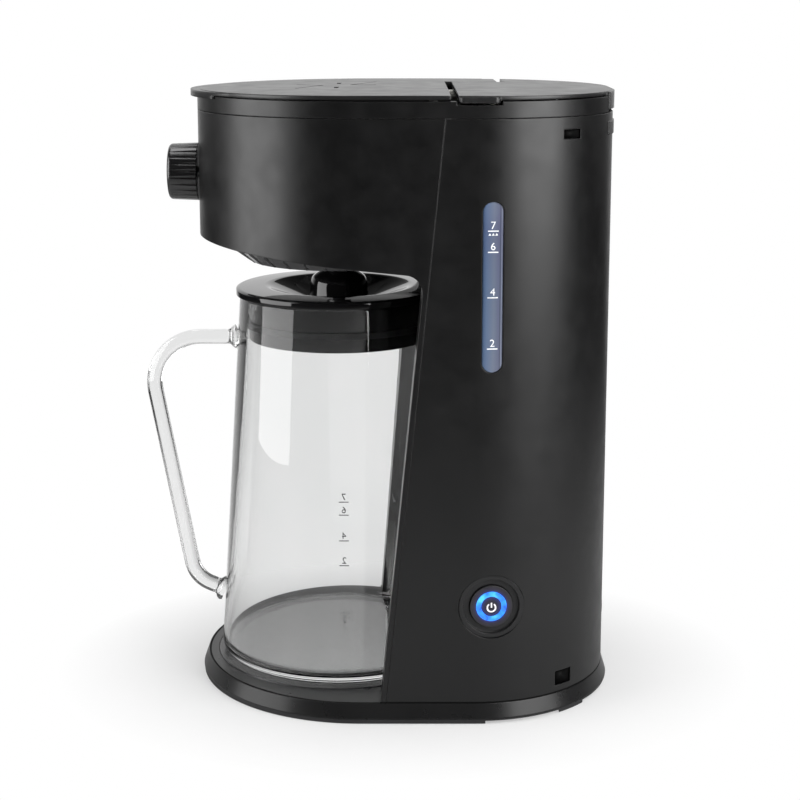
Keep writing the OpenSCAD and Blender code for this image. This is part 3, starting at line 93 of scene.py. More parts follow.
class Tree:
    """Small builder for the nodes of a material or of the world."""

    def __init__(self, name: str, world: bool = False) -> None:
        """Start an empty tree with that name."""
        self.owner = (bpy.data.worlds if world else bpy.data.materials).new(name)
        self.owner.use_nodes = True
        self.nodes = self.owner.node_tree.nodes
        self.links = self.owner.node_tree.links
        self.nodes.clear()
        self.output = self.add("ShaderNodeOutputWorld" if world else "ShaderNodeOutputMaterial")
        self.shader: bpy.types.Node | None = None

    def add(self, kind: str, **values: object) -> bpy.types.Node:
        """Add a node and set its inputs by name.

        Args:
            kind: Blender's node type.
            values: input names with underscores for blanks, or node properties in lower case.

        Returns:
            The new node.
        """
        node = self.nodes.new(kind)
        for key, value in values.items():
            if hasattr(node, key):
                setattr(node, key, value)
            else:
                node.inputs[key.replace("_", " ")].default_value = value
        return node

    def join(self, source: Socket, target: Socket) -> None:
        """Link one socket to another."""
        self.links.new(source, target)

    def coords(self, stretch: Triple = EVEN, centre: Triple = ORIGIN) -> Socket:
        """Object coordinates, moved so that a centre in metres is at zero and then stretched."""
        moved = [-c * s for c, s in zip(centre, stretch)]
        place = self.add("ShaderNodeMapping", Location=moved, Scale=stretch)
        self.join(self.add("ShaderNodeTexCoord").outputs["Object"], place.inputs["Vector"])
        return place.outputs["Vector"]

    def noise(self, scale: float, detail: float = 2.0, stretch: Triple = EVEN) -> Socket:
        """Noise on object coordinates: cells per metre, octaves and a factor along each axis."""
        node = self.add("ShaderNodeTexNoise", Scale=scale, Detail=detail)
        self.join(self.coords(stretch), node.inputs["Vector"])
        return node.outputs["Fac"]

    def remap(self, value: Socket, start: float, stop: float, low: float, high: float,
              ease: str = "LINEAR") -> Socket:
        """Map the range from start to stop to the one from low to high, clamped."""
        node = self.add("ShaderNodeMapRange", interpolation_type=ease, From_Min=start, From_Max=stop,
                        To_Min=low, To_Max=high)
        self.join(value, node.inputs["Value"])
        return node.outputs["Result"]

    def ramp(self, value: Socket, stops: Stops) -> Socket:
        """Colour ramp over a value, by positions with their linear colours."""
        node = self.add("ShaderNodeValToRGB")
        points = node.color_ramp.elements
        while len(points) < len(stops):
            points.new(0.5)
        for point, (place, colour) in zip(points, stops):
            point.position = place
            point.color = (*colour, 1.0)
        self.join(value, node.inputs["Fac"])
        return node.outputs["Color"]

    def reckon(self, operation: str, first: Socket, second: Socket) -> Socket:
        """Make one value of two by the operation of that name."""
        node = self.add("ShaderNodeMath", operation=operation)
        self.join(first, node.inputs[0])
        self.join(second, node.inputs[1])
        return node.outputs[0]

    def reach(self, place: Socket) -> Socket:
        """Distance of a place from the origin."""
        node = self.add("ShaderNodeVectorMath", operation="LENGTH")
        self.join(place, node.inputs[0])
        return node.outputs["Value"]

    def split(self, place: Socket) -> bpy.types.NodeOutputs:
        """Parts X, Y and Z of a place."""
        node = self.add("ShaderNodeSeparateXYZ")
        self.join(place, node.inputs[0])
        return node.outputs

    def blend(self, share: Socket, first: Socket, second: Socket) -> Socket:
        """Mix two shaders by the share of the second one."""
        node = self.add("ShaderNodeMixShader")
        for source, target in zip((share, first, second), node.inputs):
            self.join(source, target)
        return node.outputs[0]

    def surface(self, **values: object) -> None:
        """Put the surface shader on the output, with inputs named as in add."""
        self.shader = self.add("ShaderNodeBsdfPrincipled", **values)
        self.join(self.shader.outputs["BSDF"], self.output.inputs["Surface"])

    def paint(self, value: Socket, stops: Stops, target: str = "Base Color") -> None:
        """Colour the surface, or its light, by a ramp over a value."""
        self.join(self.ramp(value, stops), self.shader.inputs[target])

    def mottle(self, cloud: Socket, dark: Triple, light: Triple) -> None:
        """Colour the surface from dark to light over a noise."""
        self.paint(cloud, tuple(zip(SPAN, (dark, light))))

    def polish(self, value: Socket, rough: Point, span: Point = SPAN) -> None:
        """Set the surface's roughness at both ends of a value's span."""
        self.join(self.remap(value, *span, *rough), self.shader.inputs["Roughness"])

    def skin(self, height: Socket, strength: float, depth: float, edge: float = 0.0) -> None:
        """Bump the surface and soften its sharp edges.

        Args:
            height: height socket from 0 to 1.
            strength: share of the bump that shows.
            depth: real depth of the grain in metres.
            edge: radius of softened edges in metres, or 0 for none.
        """
        node = self.add("ShaderNodeBump", Strength=strength, Distance=depth)
        self.join(height, node.inputs["Height"])
        if edge:
            soft = self.add("ShaderNodeBevel", samples=6, Radius=edge)
            self.join(soft.outputs["Normal"], node.inputs["Normal"])
        self.join(node.outputs["Normal"], self.shader.inputs["Normal"])


@dataclass(frozen=True)
class Finish:
    """Named finish, of which each kind draws its own nodes."""

    name: str

    def make(self) -> bpy.types.Material:
        """Build the material."""
        tree = Tree(self.name)
        self.draw(tree)
        return tree.owner

    def draw(self, tree: Tree) -> None:
        """Draw the finish's nodes."""
        raise NotImplementedError


@dataclass(frozen=True)
class Moulding(Finish):
    """Moulded plastic with a fine spark-eroded grain, faint mottle and softened edges."""

    dark: Triple
    light: Triple
    rough: Point = (0.36, 0.46)
    grain: float = 2600.0
    grain_depth: float = 0.00003
    grain_strength: float = 0.25
    edge: float = 0.0006
    shine: float = 0.4
    coat: float = 0.0
    coat_rough: float = 0.06
    cloud: float = 38.0
    patch: float = 90.0

    def draw(self, tree: Tree) -> None:
        """Draw the mottle, the uneven gloss and the grain."""
        tree.surface(Specular_IOR_Level=self.shine, Coat_Weight=self.coat, Coat_Roughness=self.coat_rough)
        tree.mottle(tree.noise(self.cloud, 4.0), self.dark, self.light)
        tree.polish(tree.noise(self.patch, 3.0), self.rough)
        tree.skin(tree.noise(self.grain, 3.0), self.grain_strength, self.grain_depth, self.edge)


@dataclass(frozen=True)
class Metal(Finish):
    """Brushed or cast metal with fine streaks along one axis."""

    dark: Triple
    light: Triple
    rough: Point = (0.22, 0.42)
    streak: Triple = (1.0, 1.0, 0.06)
    edge: float = 0.0003
    fine: float = 1400.0
    depth: float = 0.00002

    def draw(self, tree: Tree) -> None:
        """Draw the streaks in colour, gloss and height."""
        tree.surface(Metallic=1.0)
        line = tree.noise(self.fine, 3.0, self.streak)
        tree.mottle(line, self.dark, self.light)
        tree.polish(line, self.rough)
        tree.skin(line, strength=0.2, depth=self.depth, edge=self.edge)


@dataclass(frozen=True)
class Soft(Finish):
    """Rubber or silicone, matt or slightly milky, with a fine skin."""

    dark: Triple
    light: Triple
    rough: Point = (0.55, 0.75)
    milk: float = 0.0
    cloud: float = 160.0
    fine: float = 1800.0
    depth: float = 0.00003
    edge: float = 0.0005

    def draw(self, tree: Tree) -> None:
        """Draw the cloudy rubber and its skin."""
        tree.surface(Specular_IOR_Level=0.3, Transmission_Weight=self.milk, IOR=1.41)
        cloud = tree.noise(self.cloud, 4.0)
        tree.mottle(cloud, self.dark, self.light)
        tree.polish(cloud, self.rough)
        tree.skin(tree.noise(self.fine), strength=0.2, depth=self.depth, edge=self.edge)


@dataclass(frozen=True)
class ClearGlass(Finish):
    """Clear blown glass with a faintly uneven tint."""

    tint: Triple = (0.985, 0.992, 0.99)
    cloud: float = 30.0

    def draw(self, tree: Tree) -> None:
        """Draw the clear glass and its tint."""
        tree.surface(Transmission_Weight=1.0, IOR=1.47, Roughness=0.0)
        tree.mottle(tree.noise(self.cloud), self.tint, WHITE)


@dataclass(frozen=True)
class LevelWindow(Finish):
    """Tinted see-through window strip: blue at one side, greyer at the other, lit by the water behind, with
    painted shade at its edges, a painted highlight line near one edge and painted light along it.
    """

    centre: Triple
    half: float = 0.0049
    tall: float = 0.0406
    # Across the strip: the dark ends are painted shade of the recess border, the pale stop at 0.92 is a
    # painted highlight on the rim, and the blue between is the tint.
    across: Stops = ((0.0, (0.03, 0.05, 0.09)), (0.08, (0.066, 0.1, 0.172)), (0.2, (0.092, 0.13, 0.212)),
                     (0.55, (0.126, 0.148, 0.2)), (0.8, (0.102, 0.112, 0.17)), (0.87, (0.06, 0.066, 0.1)),
                     (0.92, (0.2, 0.22, 0.29)), (1.0, (0.03, 0.032, 0.05)))
    # Along the strip: painted light, lighter at both ends and darker just below the top.
    upright: Stops = ((0.0, (1.05, 1.05, 1.05)), (0.5, (0.92, 0.95, 0.97)), (0.85, (0.86, 0.84, 0.92)),
                      (1.0, (1.1, 1.1, 1.1)))

    def draw(self, tree: Tree) -> None:
        """Draw the tint across the strip with its painted edge shade and highlight line, and the painted
        light along it.
        """
        tree.surface(Specular_IOR_Level=0.5, Coat_Weight=0.4, Coat_Roughness=0.05)
        parts = tree.split(tree.coords(EVEN, self.centre))
        wide = tree.remap(parts["X"], -self.half, self.half, 0.0, 1.0)
        high = tree.remap(parts["Z"], -self.tall, self.tall, 0.0, 1.0)
        shade = tree.add("ShaderNodeMix", data_type="RGBA", blend_type="MULTIPLY", Factor=1.0)
        tree.join(tree.ramp(wide, self.across), shade.inputs[6])
        tree.join(tree.ramp(high, self.upright), shade.inputs[7])
        tree.join(shade.outputs[2], tree.shader.inputs["Base Color"])
        tree.polish(tree.noise(120.0), rough=(0.1, 0.2))
        tree.skin(tree.noise(300.0), strength=0.08, depth=0.00003, edge=0.0005)


@dataclass(frozen=True)
class Print(Finish):
    """Printed ink: nearly even, with the thin patches of pad printing."""

    ink: Triple
    thin: Triple
    rough: Point = (0.45, 0.6)
    cloud: float = 900.0

    def draw(self, tree: Tree) -> None:
        """Draw the ink and its thin patches."""
        tree.surface(Specular_IOR_Level=0.3)
        cloud = tree.noise(self.cloud, 3.0)
        tree.paint(cloud, ((0.3, self.thin), (0.55, self.ink)))
        tree.polish(cloud, self.rough)


@dataclass(frozen=True)
class Glow(Finish):
    """Lit light guide: bright where the lamps sit behind it."""

    light: Stops = ((0.35, (0.003, 0.05, 0.55)), (0.52, (0.01, 0.22, 0.95)), (0.68, (0.07, 0.5, 1.0)))
    guide: Triple = (0.02, 0.1, 0.4)
    power: float = 1.35
    lamps: float = 190.0

    def draw(self, tree: Tree) -> None:
        """Draw the lit spots."""
        tree.surface(Base_Color=(*self.guide, 1.0), Emission_Strength=self.power)
        spots = tree.noise(self.lamps)
        tree.paint(spots, self.light, "Emission Color")
        tree.polish(spots, rough=(0.25, 0.4))


@dataclass(frozen=True)
class ButtonCap(Finish):
    """Dark cap with a painted glow: emitted blue round the ring, standing in for the light ring's spill on
    the cap.
    """

    centre: Triple
    ring: float
    dark: Triple = (0.012, 0.012, 0.013)
    light: Triple = (0.022, 0.021, 0.022)
    painted_glow: Stops = ((0.0, (0.006, 0.003, 0.012)), (0.22, (0.012, 0.006, 0.05)), (0.33, (0.004, 0.02, 0.3)),
                   (0.52, (0.006, 0.03, 0.36)), (0.62, (0.012, 0.006, 0.05)), (0.75, (0.0, 0.0, 0.0)))

    def draw(self, tree: Tree) -> None:
        """Draw the painted glow over dark plastic."""
        tree.surface(Specular_IOR_Level=0.4, Emission_Strength=0.5)
        reach = tree.reach(tree.coords(EVEN, self.centre))
        tree.paint(tree.remap(reach, 0.0, self.ring * 2.0, 0.0, 1.0), self.painted_glow, "Emission Color")
        cloud = tree.noise(160.0, 3.0)
        tree.mottle(cloud, self.dark, self.light)
        tree.polish(cloud, rough=(0.38, 0.5))
        tree.skin(tree.noise(2600.0), strength=0.2, depth=0.00003, edge=0.0004)


@dataclass(frozen=True)
class WovenMesh(Finish):
    """Fine stainless net, drawn as crossing wires."""

    pitch: float = 0.0009
    wire: float = 0.22
    dark: Triple = (0.09, 0.085, 0.075)
    light: Triple = (0.52, 0.5, 0.45)

    def draw(self, tree: Tree) -> None:
        """Draw the wires in colour, gloss and height."""
        tree.surface(Metallic=1.0)
        net = tree.add("ShaderNodeTexBrick", offset=0.0, Scale=1.0, Mortar_Size=self.pitch * self.wire,
                       Brick_Width=self.pitch, Row_Height=self.pitch)
        tree.join(tree.coords(), net.inputs["Vector"])
        wires = net.outputs["Fac"]
        tree.paint(wires, ((0.0, self.dark), (1.0, self.light)))
        tree.polish(wires, rough=(0.6, 0.28), span=(0.0, 1.0))
        tree.skin(wires, strength=0.4, depth=0.0001)


@dataclass(frozen=True)
class BoardGreen(Finish):
    """Circuit board with tracks under green lacquer."""

    track: Triple = (0.05, 0.17, 0.07)
    ground: Triple = (0.02, 0.085, 0.03)
    cells: float = 260.0

    def draw(self, tree: Tree) -> None:
        """Draw the tracks and the lacquer."""
        tree.surface(Specular_IOR_Level=0.5, Coat_Weight=0.3)
        tracks = tree.add("ShaderNodeTexVoronoi", distance="MANHATTAN", feature="DISTANCE_TO_EDGE",
                          Scale=self.cells)
        tree.join(tree.coords(), tracks.inputs["Vector"])
        edge = tracks.outputs["Distance"]
        tree.paint(edge, ((0.05, self.track), (0.09, self.ground)))
        tree.polish(tree.noise(300.0), rough=(0.25, 0.4))
        tree.skin(edge, strength=0.15, depth=0.00005)


def put(name: str, data: bpy.types.ID) -> bpy.types.Object:
    """Add an object with that data to the scene."""
    thing = bpy.data.objects.new(name, data)
    bpy.context.scene.collection.objects.link(thing)
    return thing


def ends(rim: Rim) -> list[bmesh.types.BMVert]:
    """Vertices of a rim of edges, each once and in the same order at every run."""
    return list(dict.fromkeys(v for edge in rim for v in edge.verts))


# Finishes with the names of their solids, blanks between the names.
Wear = tuple[tuple[Finish, str], ...]


@dataclass(frozen=True)
class Wall:
    """Rounded upright wall of the tower on the window side, in millimetres."""

    radius: float
    centre: Point = (48.7, -13.5)

    def place(self, x: float, z: float, out: float = 0.0) -> Matrix:
        """Place on the wall, with +Z outwards and +Y up.

        Args:
            x: X of the spot in millimetres.
            z: height of the spot in millimetres.
            out: distance of the spot in front of the wall in millimetres.

        Returns:
            The matrix in metres.
        """
        turn = math.asin((x - self.centre[0]) / self.radius)
        normal = Vector((math.sin(turn), -math.cos(turn), 0.0))
        along = Vector((math.cos(turn), math.sin(turn), 0.0))
        spot = Vector((*self.centre, z)) + normal * (self.radius + out)
        place = Matrix((along, Vector(UP), normal)).transposed().to_4x4()
        place.translation = spot * MM
        return place


class Assembly:
    """Sub-assembly of the machine, with the mesh tools that all of them share."""

    finishes: Wear = ()

    def dress(self) -> None:
        """Give the assembly's solids their finishes."""
        self.wear(self.finishes)

    def build(self) -> None:
        """Make the assembly's new pieces, if it has any."""

    @staticmethod
    def wear(finishes: Wear) -> None:
        """Give finishes to solids of the frame."""
        for finish, names in finishes:
            material = finish.make()
            for name in names.split():
                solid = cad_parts[name]
                if not solid.material_slots:
                    solid.data.materials.append(material)
                for slot in solid.material_slots:
                    slot.material = material
                LOG.info("%s: %s", name, material.name)

    @staticmethod
    def piece(bm: Shape, name: str, finish: bpy.types.Material, body: Body, slot: Slot,
              crease: float = 35.0) -> bpy.types.Object:
        """Turn a bmesh into a piece that rides on a body.

        Args:
            bm: finished bmesh, which is freed.
            name: name of the piece.
            finish: its material.
            body: body that it moves with.
            slot: material slot of the record; not used.
            crease: angle in degrees above which an edge stays sharp.

        Returns:
            The new object.
        """
        mesh = bpy.data.meshes.new(name)
        bm.to_mesh(mesh)
        bm.free()
        mesh.polygons.foreach_set("use_smooth", [True] * len(mesh.polygons))
        mesh.set_sharp_from_angle(angle=math.radians(crease))
        mesh.materials.append(finish)
        thing = put(name, mesh)
        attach(thing, body.value)
        LOG.info("%s: %d faces on %s", name, len(mesh.polygons), body.value)
        return thing

    @staticmethod
    def spun(points: tuple[Point, ...], rounds: tuple[tuple[int, float], ...], axis_x: float,
             steps: int = 160) -> Shape:
        """Half profile with chosen corners rounded, spun once round its upright axis and closed.

        Args:
            points: radius and height of each corner in millimetres, in order.
            rounds: corner indices with their rounding distances in millimetres.
            axis_x: X of the axis in millimetres.
            steps: facets round the axis.

        Returns:
            The spun shape as a bmesh.
        """
        bm = bmesh.new()
        corners = [bm.verts.new(((axis_x + r) * MM, 0.0, z * MM)) for r, z in points]
        for a, b in zip(corners, corners[1:]):
            bm.edges.new((a, b))
        for index, distance in rounds:
            bmesh.ops.bevel(bm, geom=[corners[index]], offset=distance * MM, offset_type="OFFSET", segments=5,
                            profile=0.5, affect="VERTICES", material=-1)
        bmesh.ops.spin(bm, geom=bm.verts[:] + bm.edges[:], cent=(axis_x * MM, 0.0, 0.0), axis=UP, dvec=ORIGIN,
                       angle=2.0 * math.pi, steps=steps, use_merge=True)
        bmesh.ops.remove_doubles(bm, verts=bm.verts[:], dist=MERGE)
        bmesh.ops.recalc_face_normals(bm, faces=bm.faces[:])
        return bm

    @staticmethod
    def lettering(body: str, height: float, depth: float) -> Shape:
        """Numeral as a flat solid, centred on the origin, in metres.

        Args:
            body: characters to draw.
            height: height of a capital in millimetres.
            depth: thickness in millimetres.

        Returns:
            The numeral as a bmesh, readable from +Z.
        """
        capital = 0.7
        curve = bpy.data.curves.new("numeral", "FONT")
        curve.body = body
        curve.size = height * MM / capital
        curve.extrude = depth * MM / 2.0
        curve.align_x = "CENTER"
        curve.align_y = "CENTER"
        source = put("numeral", curve)
        mesh = bpy.data.meshes.new_from_object(source.evaluated_get(bpy.context.evaluated_depsgraph_get()))
        bm = bmesh.new()
        bm.from_mesh(mesh)
        bpy.data.objects.remove(source)
        bpy.data.curves.remove(curve)
        bpy.data.meshes.remove(mesh)
        return bm

    @staticmethod
    def bar(size: Triple, place: Matrix) -> Shape:
        """Small block of three lengths in millimetres, with softened edges."""
        softened = 0.2
        bm = bmesh.new()
        bmesh.ops.create_cube(bm, size=1.0)
        bmesh.ops.scale(bm, vec=[s * MM for s in size], verts=bm.verts[:])
        bmesh.ops.bevel(bm, geom=bm.edges[:], offset=min(size) * MM * softened, segments=2, profile=0.5,
                        affect="EDGES", material=-1)
        bmesh.ops.transform(bm, matrix=place, verts=bm.verts[:])
        return bm

    @staticmethod
    def strip(size: Point, place: Matrix) -> Shape:
        """Flat rectangle of a width and height in millimetres: the section of a seam or line."""
        bm = bmesh.new()
        bmesh.ops.create_grid(bm, x_segments=1, y_segments=1, size=0.5)
        bmesh.ops.scale(bm, vec=(size[0] * MM, size[1] * MM, 1.0), verts=bm.verts[:])
        bmesh.ops.transform(bm, matrix=place, verts=bm.verts[:])
        return bm

    @staticmethod
    def carry(bm: Shape, rim: Rim, step: Vector) -> Rim:
        """Draw a rim of edges straight on by a step in metres, and give the rim at the new end."""
        made = bmesh.ops.extrude_edge_only(bm, edges=rim)["geom"]
        fresh = [v for v in made if isinstance(v, bmesh.types.BMVert)]
        bmesh.ops.translate(bm, vec=step, verts=fresh)
        return [e for e in made if isinstance(e, bmesh.types.BMEdge) and all(v in fresh for v in e.verts)]

    @staticmethod
    def swing(bm: Shape, rim: Rim, centre: Triple, angle: float, steps: int, axis: Triple = UP,
              climb: float = 0.0) -> Rim:
        """Draw a rim of edges round a bend.

        Args:
            bm: bmesh that holds the rim.
            rim: edges to draw on.
            centre: centre of the bend in metres.
            angle: angle of the bend in radians.
            steps: facets along the bend.
            axis: axis of the bend.
            climb: rise with each step in metres.

        Returns:
            The edges at the new end.
        """
        last = bmesh.ops.spin(bm, geom=ends(rim) + rim, cent=centre, axis=axis, dvec=(0.0, 0.0, climb),
                              angle=angle, steps=steps)["geom_last"]
        return [e for e in last if isinstance(e, bmesh.types.BMEdge)]

    @staticmethod
    def close(bm: Shape, rim: Rim) -> Shape:
        """Close the open end of a drawn shape and turn its faces outwards."""
        bmesh.ops.contextual_create(bm, geom=rim)
        bmesh.ops.remove_doubles(bm, verts=bm.verts[:], dist=MERGE)
        bmesh.ops.recalc_face_normals(bm, faces=bm.faces[:])
        return bm

    @staticmethod
    def gather(parts: list[Shape]) -> Shape:
        """Join several bmeshes into the first one and free the others."""
        whole = parts[0]
        for part in parts[1:]:
            mesh = bpy.data.meshes.new("joined")
            part.to_mesh(mesh)
            part.free()
            whole.from_mesh(mesh)
            bpy.data.meshes.remove(mesh)
        return whole

    def levels(self, marks: Marks, line: Triple, digit_h: float, lift: float,
               place: Callable[[float], Matrix]) -> list[Shape]:
        """Level lines, each with its numeral above it.

        Args:
            marks: numerals with the heights of their lines in millimetres.
            line: length, width and thickness of a line in millimetres.
            digit_h: height of a numeral in millimetres.
            lift: middle of a numeral above its line in millimetres.
            place: gives the place on the wall at a height.

        Returns:
            The lines and numerals as bmeshes.
        """
        parts = []
        for numeral, z in marks:
            parts.append(self.bar(line, place(z)))
            digit = self.lettering(numeral, digit_h, line[2])
            bmesh.ops.transform(digit, matrix=place(z + lift), verts=digit.verts[:])
            parts.append(digit)
        return parts


@dataclass
class Housing(Assembly):
    """Base, tower, head and collar: satin black mouldings with a fine grain."""

    finishes: Wear = (
        (Moulding("satin_black", (0.0014, 0.0014, 0.0015), (0.0024, 0.0023, 0.0025), rough=(0.33, 0.41),
                  shine=0.5), "rear_housing head_shell top_collar"),
        (Moulding("base_black", (0.007, 0.007, 0.0072), (0.0095, 0.0094, 0.0096), rough=(0.27, 0.3),
                  grain_strength=0.08, edge=0.0009, shine=0.3), "base_shell"),
        (Moulding("bay_black", (0.006, 0.006, 0.0063), (0.009, 0.009, 0.0093), rough=(0.3, 0.4), shine=0.35),
         "bay_liner"),
        (Moulding("cover_black", (0.012, 0.012, 0.013), (0.018, 0.018, 0.019), rough=(0.5, 0.6)),
         "bottom_cover"),
        (Moulding("pad_black", (0.03, 0.03, 0.031), (0.036, 0.036, 0.037), rough=(0.2, 0.22), grain=1500.0,
                  grain_strength=0.03, edge=0.0004), "jug_pad"),
        (Soft("foot_rubber", (0.008, 0.008, 0.008), (0.018, 0.018, 0.018)), "rubber_feet cord_gland"),
        (Metal("screw_steel", (0.35, 0.35, 0.36), (0.6, 0.6, 0.61)), "cover_screws"))
    # Painted shade: near-black finish of the strips along the seams and in the snap hooks' windows, standing
    # in for the shade there.
    seam: Moulding = Moulding("seam_painted_shade", (0.001, 0.001, 0.001), (0.002, 0.002, 0.002), rough=(0.6, 0.7),
                              shine=0.1)
    nose_x: float = -7.9
    nose_steps: int = 72
    half_w: float = 82.5
    deck_z: float = 10.0
    wall_x: float = 2.0
    deck_seam_shade: Point = (1.0, 0.1)
    deck_inset: float = 0.8
    foot_seam_shade: Point = (0.1, 0.8)
    rear_x: float = 48.7
    rear_y: float = 13.5
    rear_steps: int = 36
    hook_turn: float = 49.8
    hook_face: float = 67.97
    hook_t: float = 0.1
    hook_w: float = 10.1
    hooks: tuple[Point, ...] = ((17.55, 6.7), (288.0, 3.8))

    def build(self) -> None:
        """Lay dark strips of painted shade along the seams and on the snap hooks in their windows."""
        for name, shape in (("deck_seam_shade", self.deck_line()), ("foot_seam_shade", self.foot_line()),
                            ("hook_shades", self.hook_window_shade())):
            self.piece(shape, name, self.seam.make(), Body.MACHINE, Slot.BODY)

    def hook_window_shade(self) -> Shape:
        """Dark sheets on the snap hooks' faces in their windows, on both sides: painted shade, so that the
        windows read as dark holes.
        """
        shades = []
        for side in (-1.0, 1.0):
            turned = Matrix.Rotation(math.radians(side * self.hook_turn), 4, "Z")
            corner = Matrix.Translation((self.rear_x * MM, side * self.rear_y * MM, 0.0))
            for z, tall in self.hooks:
                place = corner @ turned @ Matrix.Translation((self.hook_face * MM, 0.0, z * MM))
                shades.append(self.bar((self.hook_t, self.hook_w, tall), place))
        return self.gather(shades)

    def foot_line(self) -> Shape:
        """Painted shade: fine dark strip along the seam between tower and base, round both rear corners."""
        z = self.deck_z + self.foot_seam_shade[1] / 2.0
        start = Matrix.Translation((self.wall_x * MM, -self.half_w * MM, z * MM))
        bm = self.strip(self.foot_seam_shade, start @ ACROSS)
        run = Vector(((self.rear_x - self.wall_x) * MM, 0.0, 0.0))
        back = Vector((0.0, 2.0 * self.rear_y * MM, 0.0))
        rim = self.carry(bm, bm.edges[:], run)
        for side, step in ((-1.0, back), (1.0, -run)):
            corner = (self.rear_x * MM, side * self.rear_y * MM, 0.0)
            rim = self.swing(bm, rim, corner, QUARTER, self.rear_steps)
            rim = self.carry(bm, rim, step)
        return self.close(bm, rim)

    def deck_line(self) -> Shape:
        """Painted shade: fine dark strip along the seam round the deck, from one wall of the tower round the
        nose to the other.
        """
        side = self.half_w - self.deck_inset
        start = Matrix.Translation((self.wall_x * MM, side * MM, self.deck_z * MM))
        bm = self.strip(self.deck_seam_shade, start @ ACROSS)
        run = Vector(((self.wall_x - self.nose_x) * MM, 0.0, 0.0))
        rim = self.carry(bm, bm.edges[:], -run)
        rim = self.swing(bm, rim, (self.nose_x * MM, 0.0, 0.0), math.pi, self.nose_steps)
        return self.close(bm, self.carry(bm, rim, run))


@dataclass
class LidPair(Assembly):
    """Front and rear lid, their pins and spray plate, and the fine arrow lines on the front lid, drawn dark
    as painted shade.
    """

    middle: Point = (13.65, 0.0)
    top: float = 307.4
    dome: tuple[Point, ...] = ((0.0, 0.0), (34.97, 0.096), (69.93, 0.408), (99.07, 0.864), (116.55, 1.2))
    arrow_t: float = 0.55
    arrow_h: float = 0.12
    arrows: tuple[tuple[Point, Point, Point], ...] = (((-40.5, 7.6), (-27.3, -0.5), (-39.5, -24.7)),
                                                      ((-0.7, 3.5), (-13.1, 3.5), (-0.9, 33.5)))
    finishes: Wear = (
        (Moulding("lid_black", (0.009, 0.009, 0.0093), (0.0125, 0.0125, 0.0128), rough=(0.3, 0.38),
                  grain_strength=0.12, edge=0.0013, shine=0.5), "front_lid rear_lid"),
        (Metal("pin_steel", (0.42, 0.42, 0.43), (0.66, 0.66, 0.67), streak=(1.0, 0.06, 1.0)),
         "front_hinge_pin rear_hinge_pin"),
        (Moulding("white_moulding", (0.56, 0.56, 0.54), (0.64, 0.64, 0.62), rough=(0.4, 0.5)), "spray_plate"))
    arrow_shade: Moulding = Moulding("arrow_painted_shade", (0.002, 0.002, 0.002), (0.0035, 0.0035, 0.0035),
                                rough=(0.6, 0.7), shine=0.1)

    def crown(self, spot: Point) -> Vector:
        """Point of the lid's crowned top over a place in plan, in millimetres."""
        reach = math.hypot(spot[0] - self.middle[0], spot[1] - self.middle[1])
        falls = [high + (low - high) * (reach - near) / (far - near)
                 for (near, high), (far, low) in zip(self.dome, self.dome[1:])]
        return Vector((*spot, self.top - max(falls)))

    def build(self) -> None:
        """Lay the fine arrow lines on the front lid: thin raised bars in a darker finish, painted shade that
        makes the arrows show.
        """
        strokes = []
        for near, tip, away in self.arrows:
            for start, stop in ((near, tip), (tip, away)):
                first, last = self.crown(start), self.crown(stop)
                run = last - first
                turned = run.to_track_quat("X", "Z").to_matrix().to_4x4()
                place = Matrix.Translation((first + last) / 2.0 * MM) @ turned
                strokes.append(self.bar((run.length + self.arrow_t, self.arrow_t, self.arrow_h), place))
        self.piece(self.gather(strokes), "lid_arrows", self.arrow_shade.make(), Body.FRONT_LID, Slot.LID)


@dataclass
class WaterWindow(Assembly):
    """Water window with its printed level marks."""

    x: float = 55.4
    z: float = 217.0
    wall: Wall = Wall(68.5)
    marks: Marks = (("2", 187.8), ("4", 212.4), ("6", 234.0), ("7", 244.0))
    line: Triple = (5.0, 0.55, 0.12)
    digit_h: float = 3.5
    digit_lift: float = 2.55
    out: float = 0.03
    limit_r: float = 0.75
    limit_drop: float = 1.7
    limit_shifts: Triple = (-1.6, 0.0, 1.6)
    ink: Print = Print("mark_white", (0.82, 0.83, 0.85), (0.66, 0.68, 0.72))

    def dress(self) -> None:
        """Give the window its tint and painted light."""
        spot = self.wall.place(self.x, self.z).translation
        self.wear(((LevelWindow("window_tint_and_painted_light", tuple(spot)), "level_window"),))

    def spot(self, z: float) -> Matrix:
        """Place on the window's middle at a height."""
        return self.wall.place(self.x, z, self.out)

    def build(self) -> None:
        """Print the level lines, the numerals and the fill limit's small triangles, which point up."""
        parts = self.levels(self.marks, self.line, self.digit_h, self.digit_lift, self.spot)
        z = self.marks[-1][1] - self.limit_drop
        for shift in self.limit_shifts:
            bm = bmesh.new()
            bmesh.ops.create_cone(bm, cap_ends=True, segments=3, radius1=self.limit_r * MM,
                                  radius2=self.limit_r * MM, depth=self.line[2] * MM)
            bmesh.ops.transform(bm, matrix=self.wall.place(self.x + shift, z, self.out), verts=bm.verts[:])
            parts.append(bm)
        self.piece(self.gather(parts), "window_marks", self.ink.make(), Body.MACHINE, Slot.WHITE)


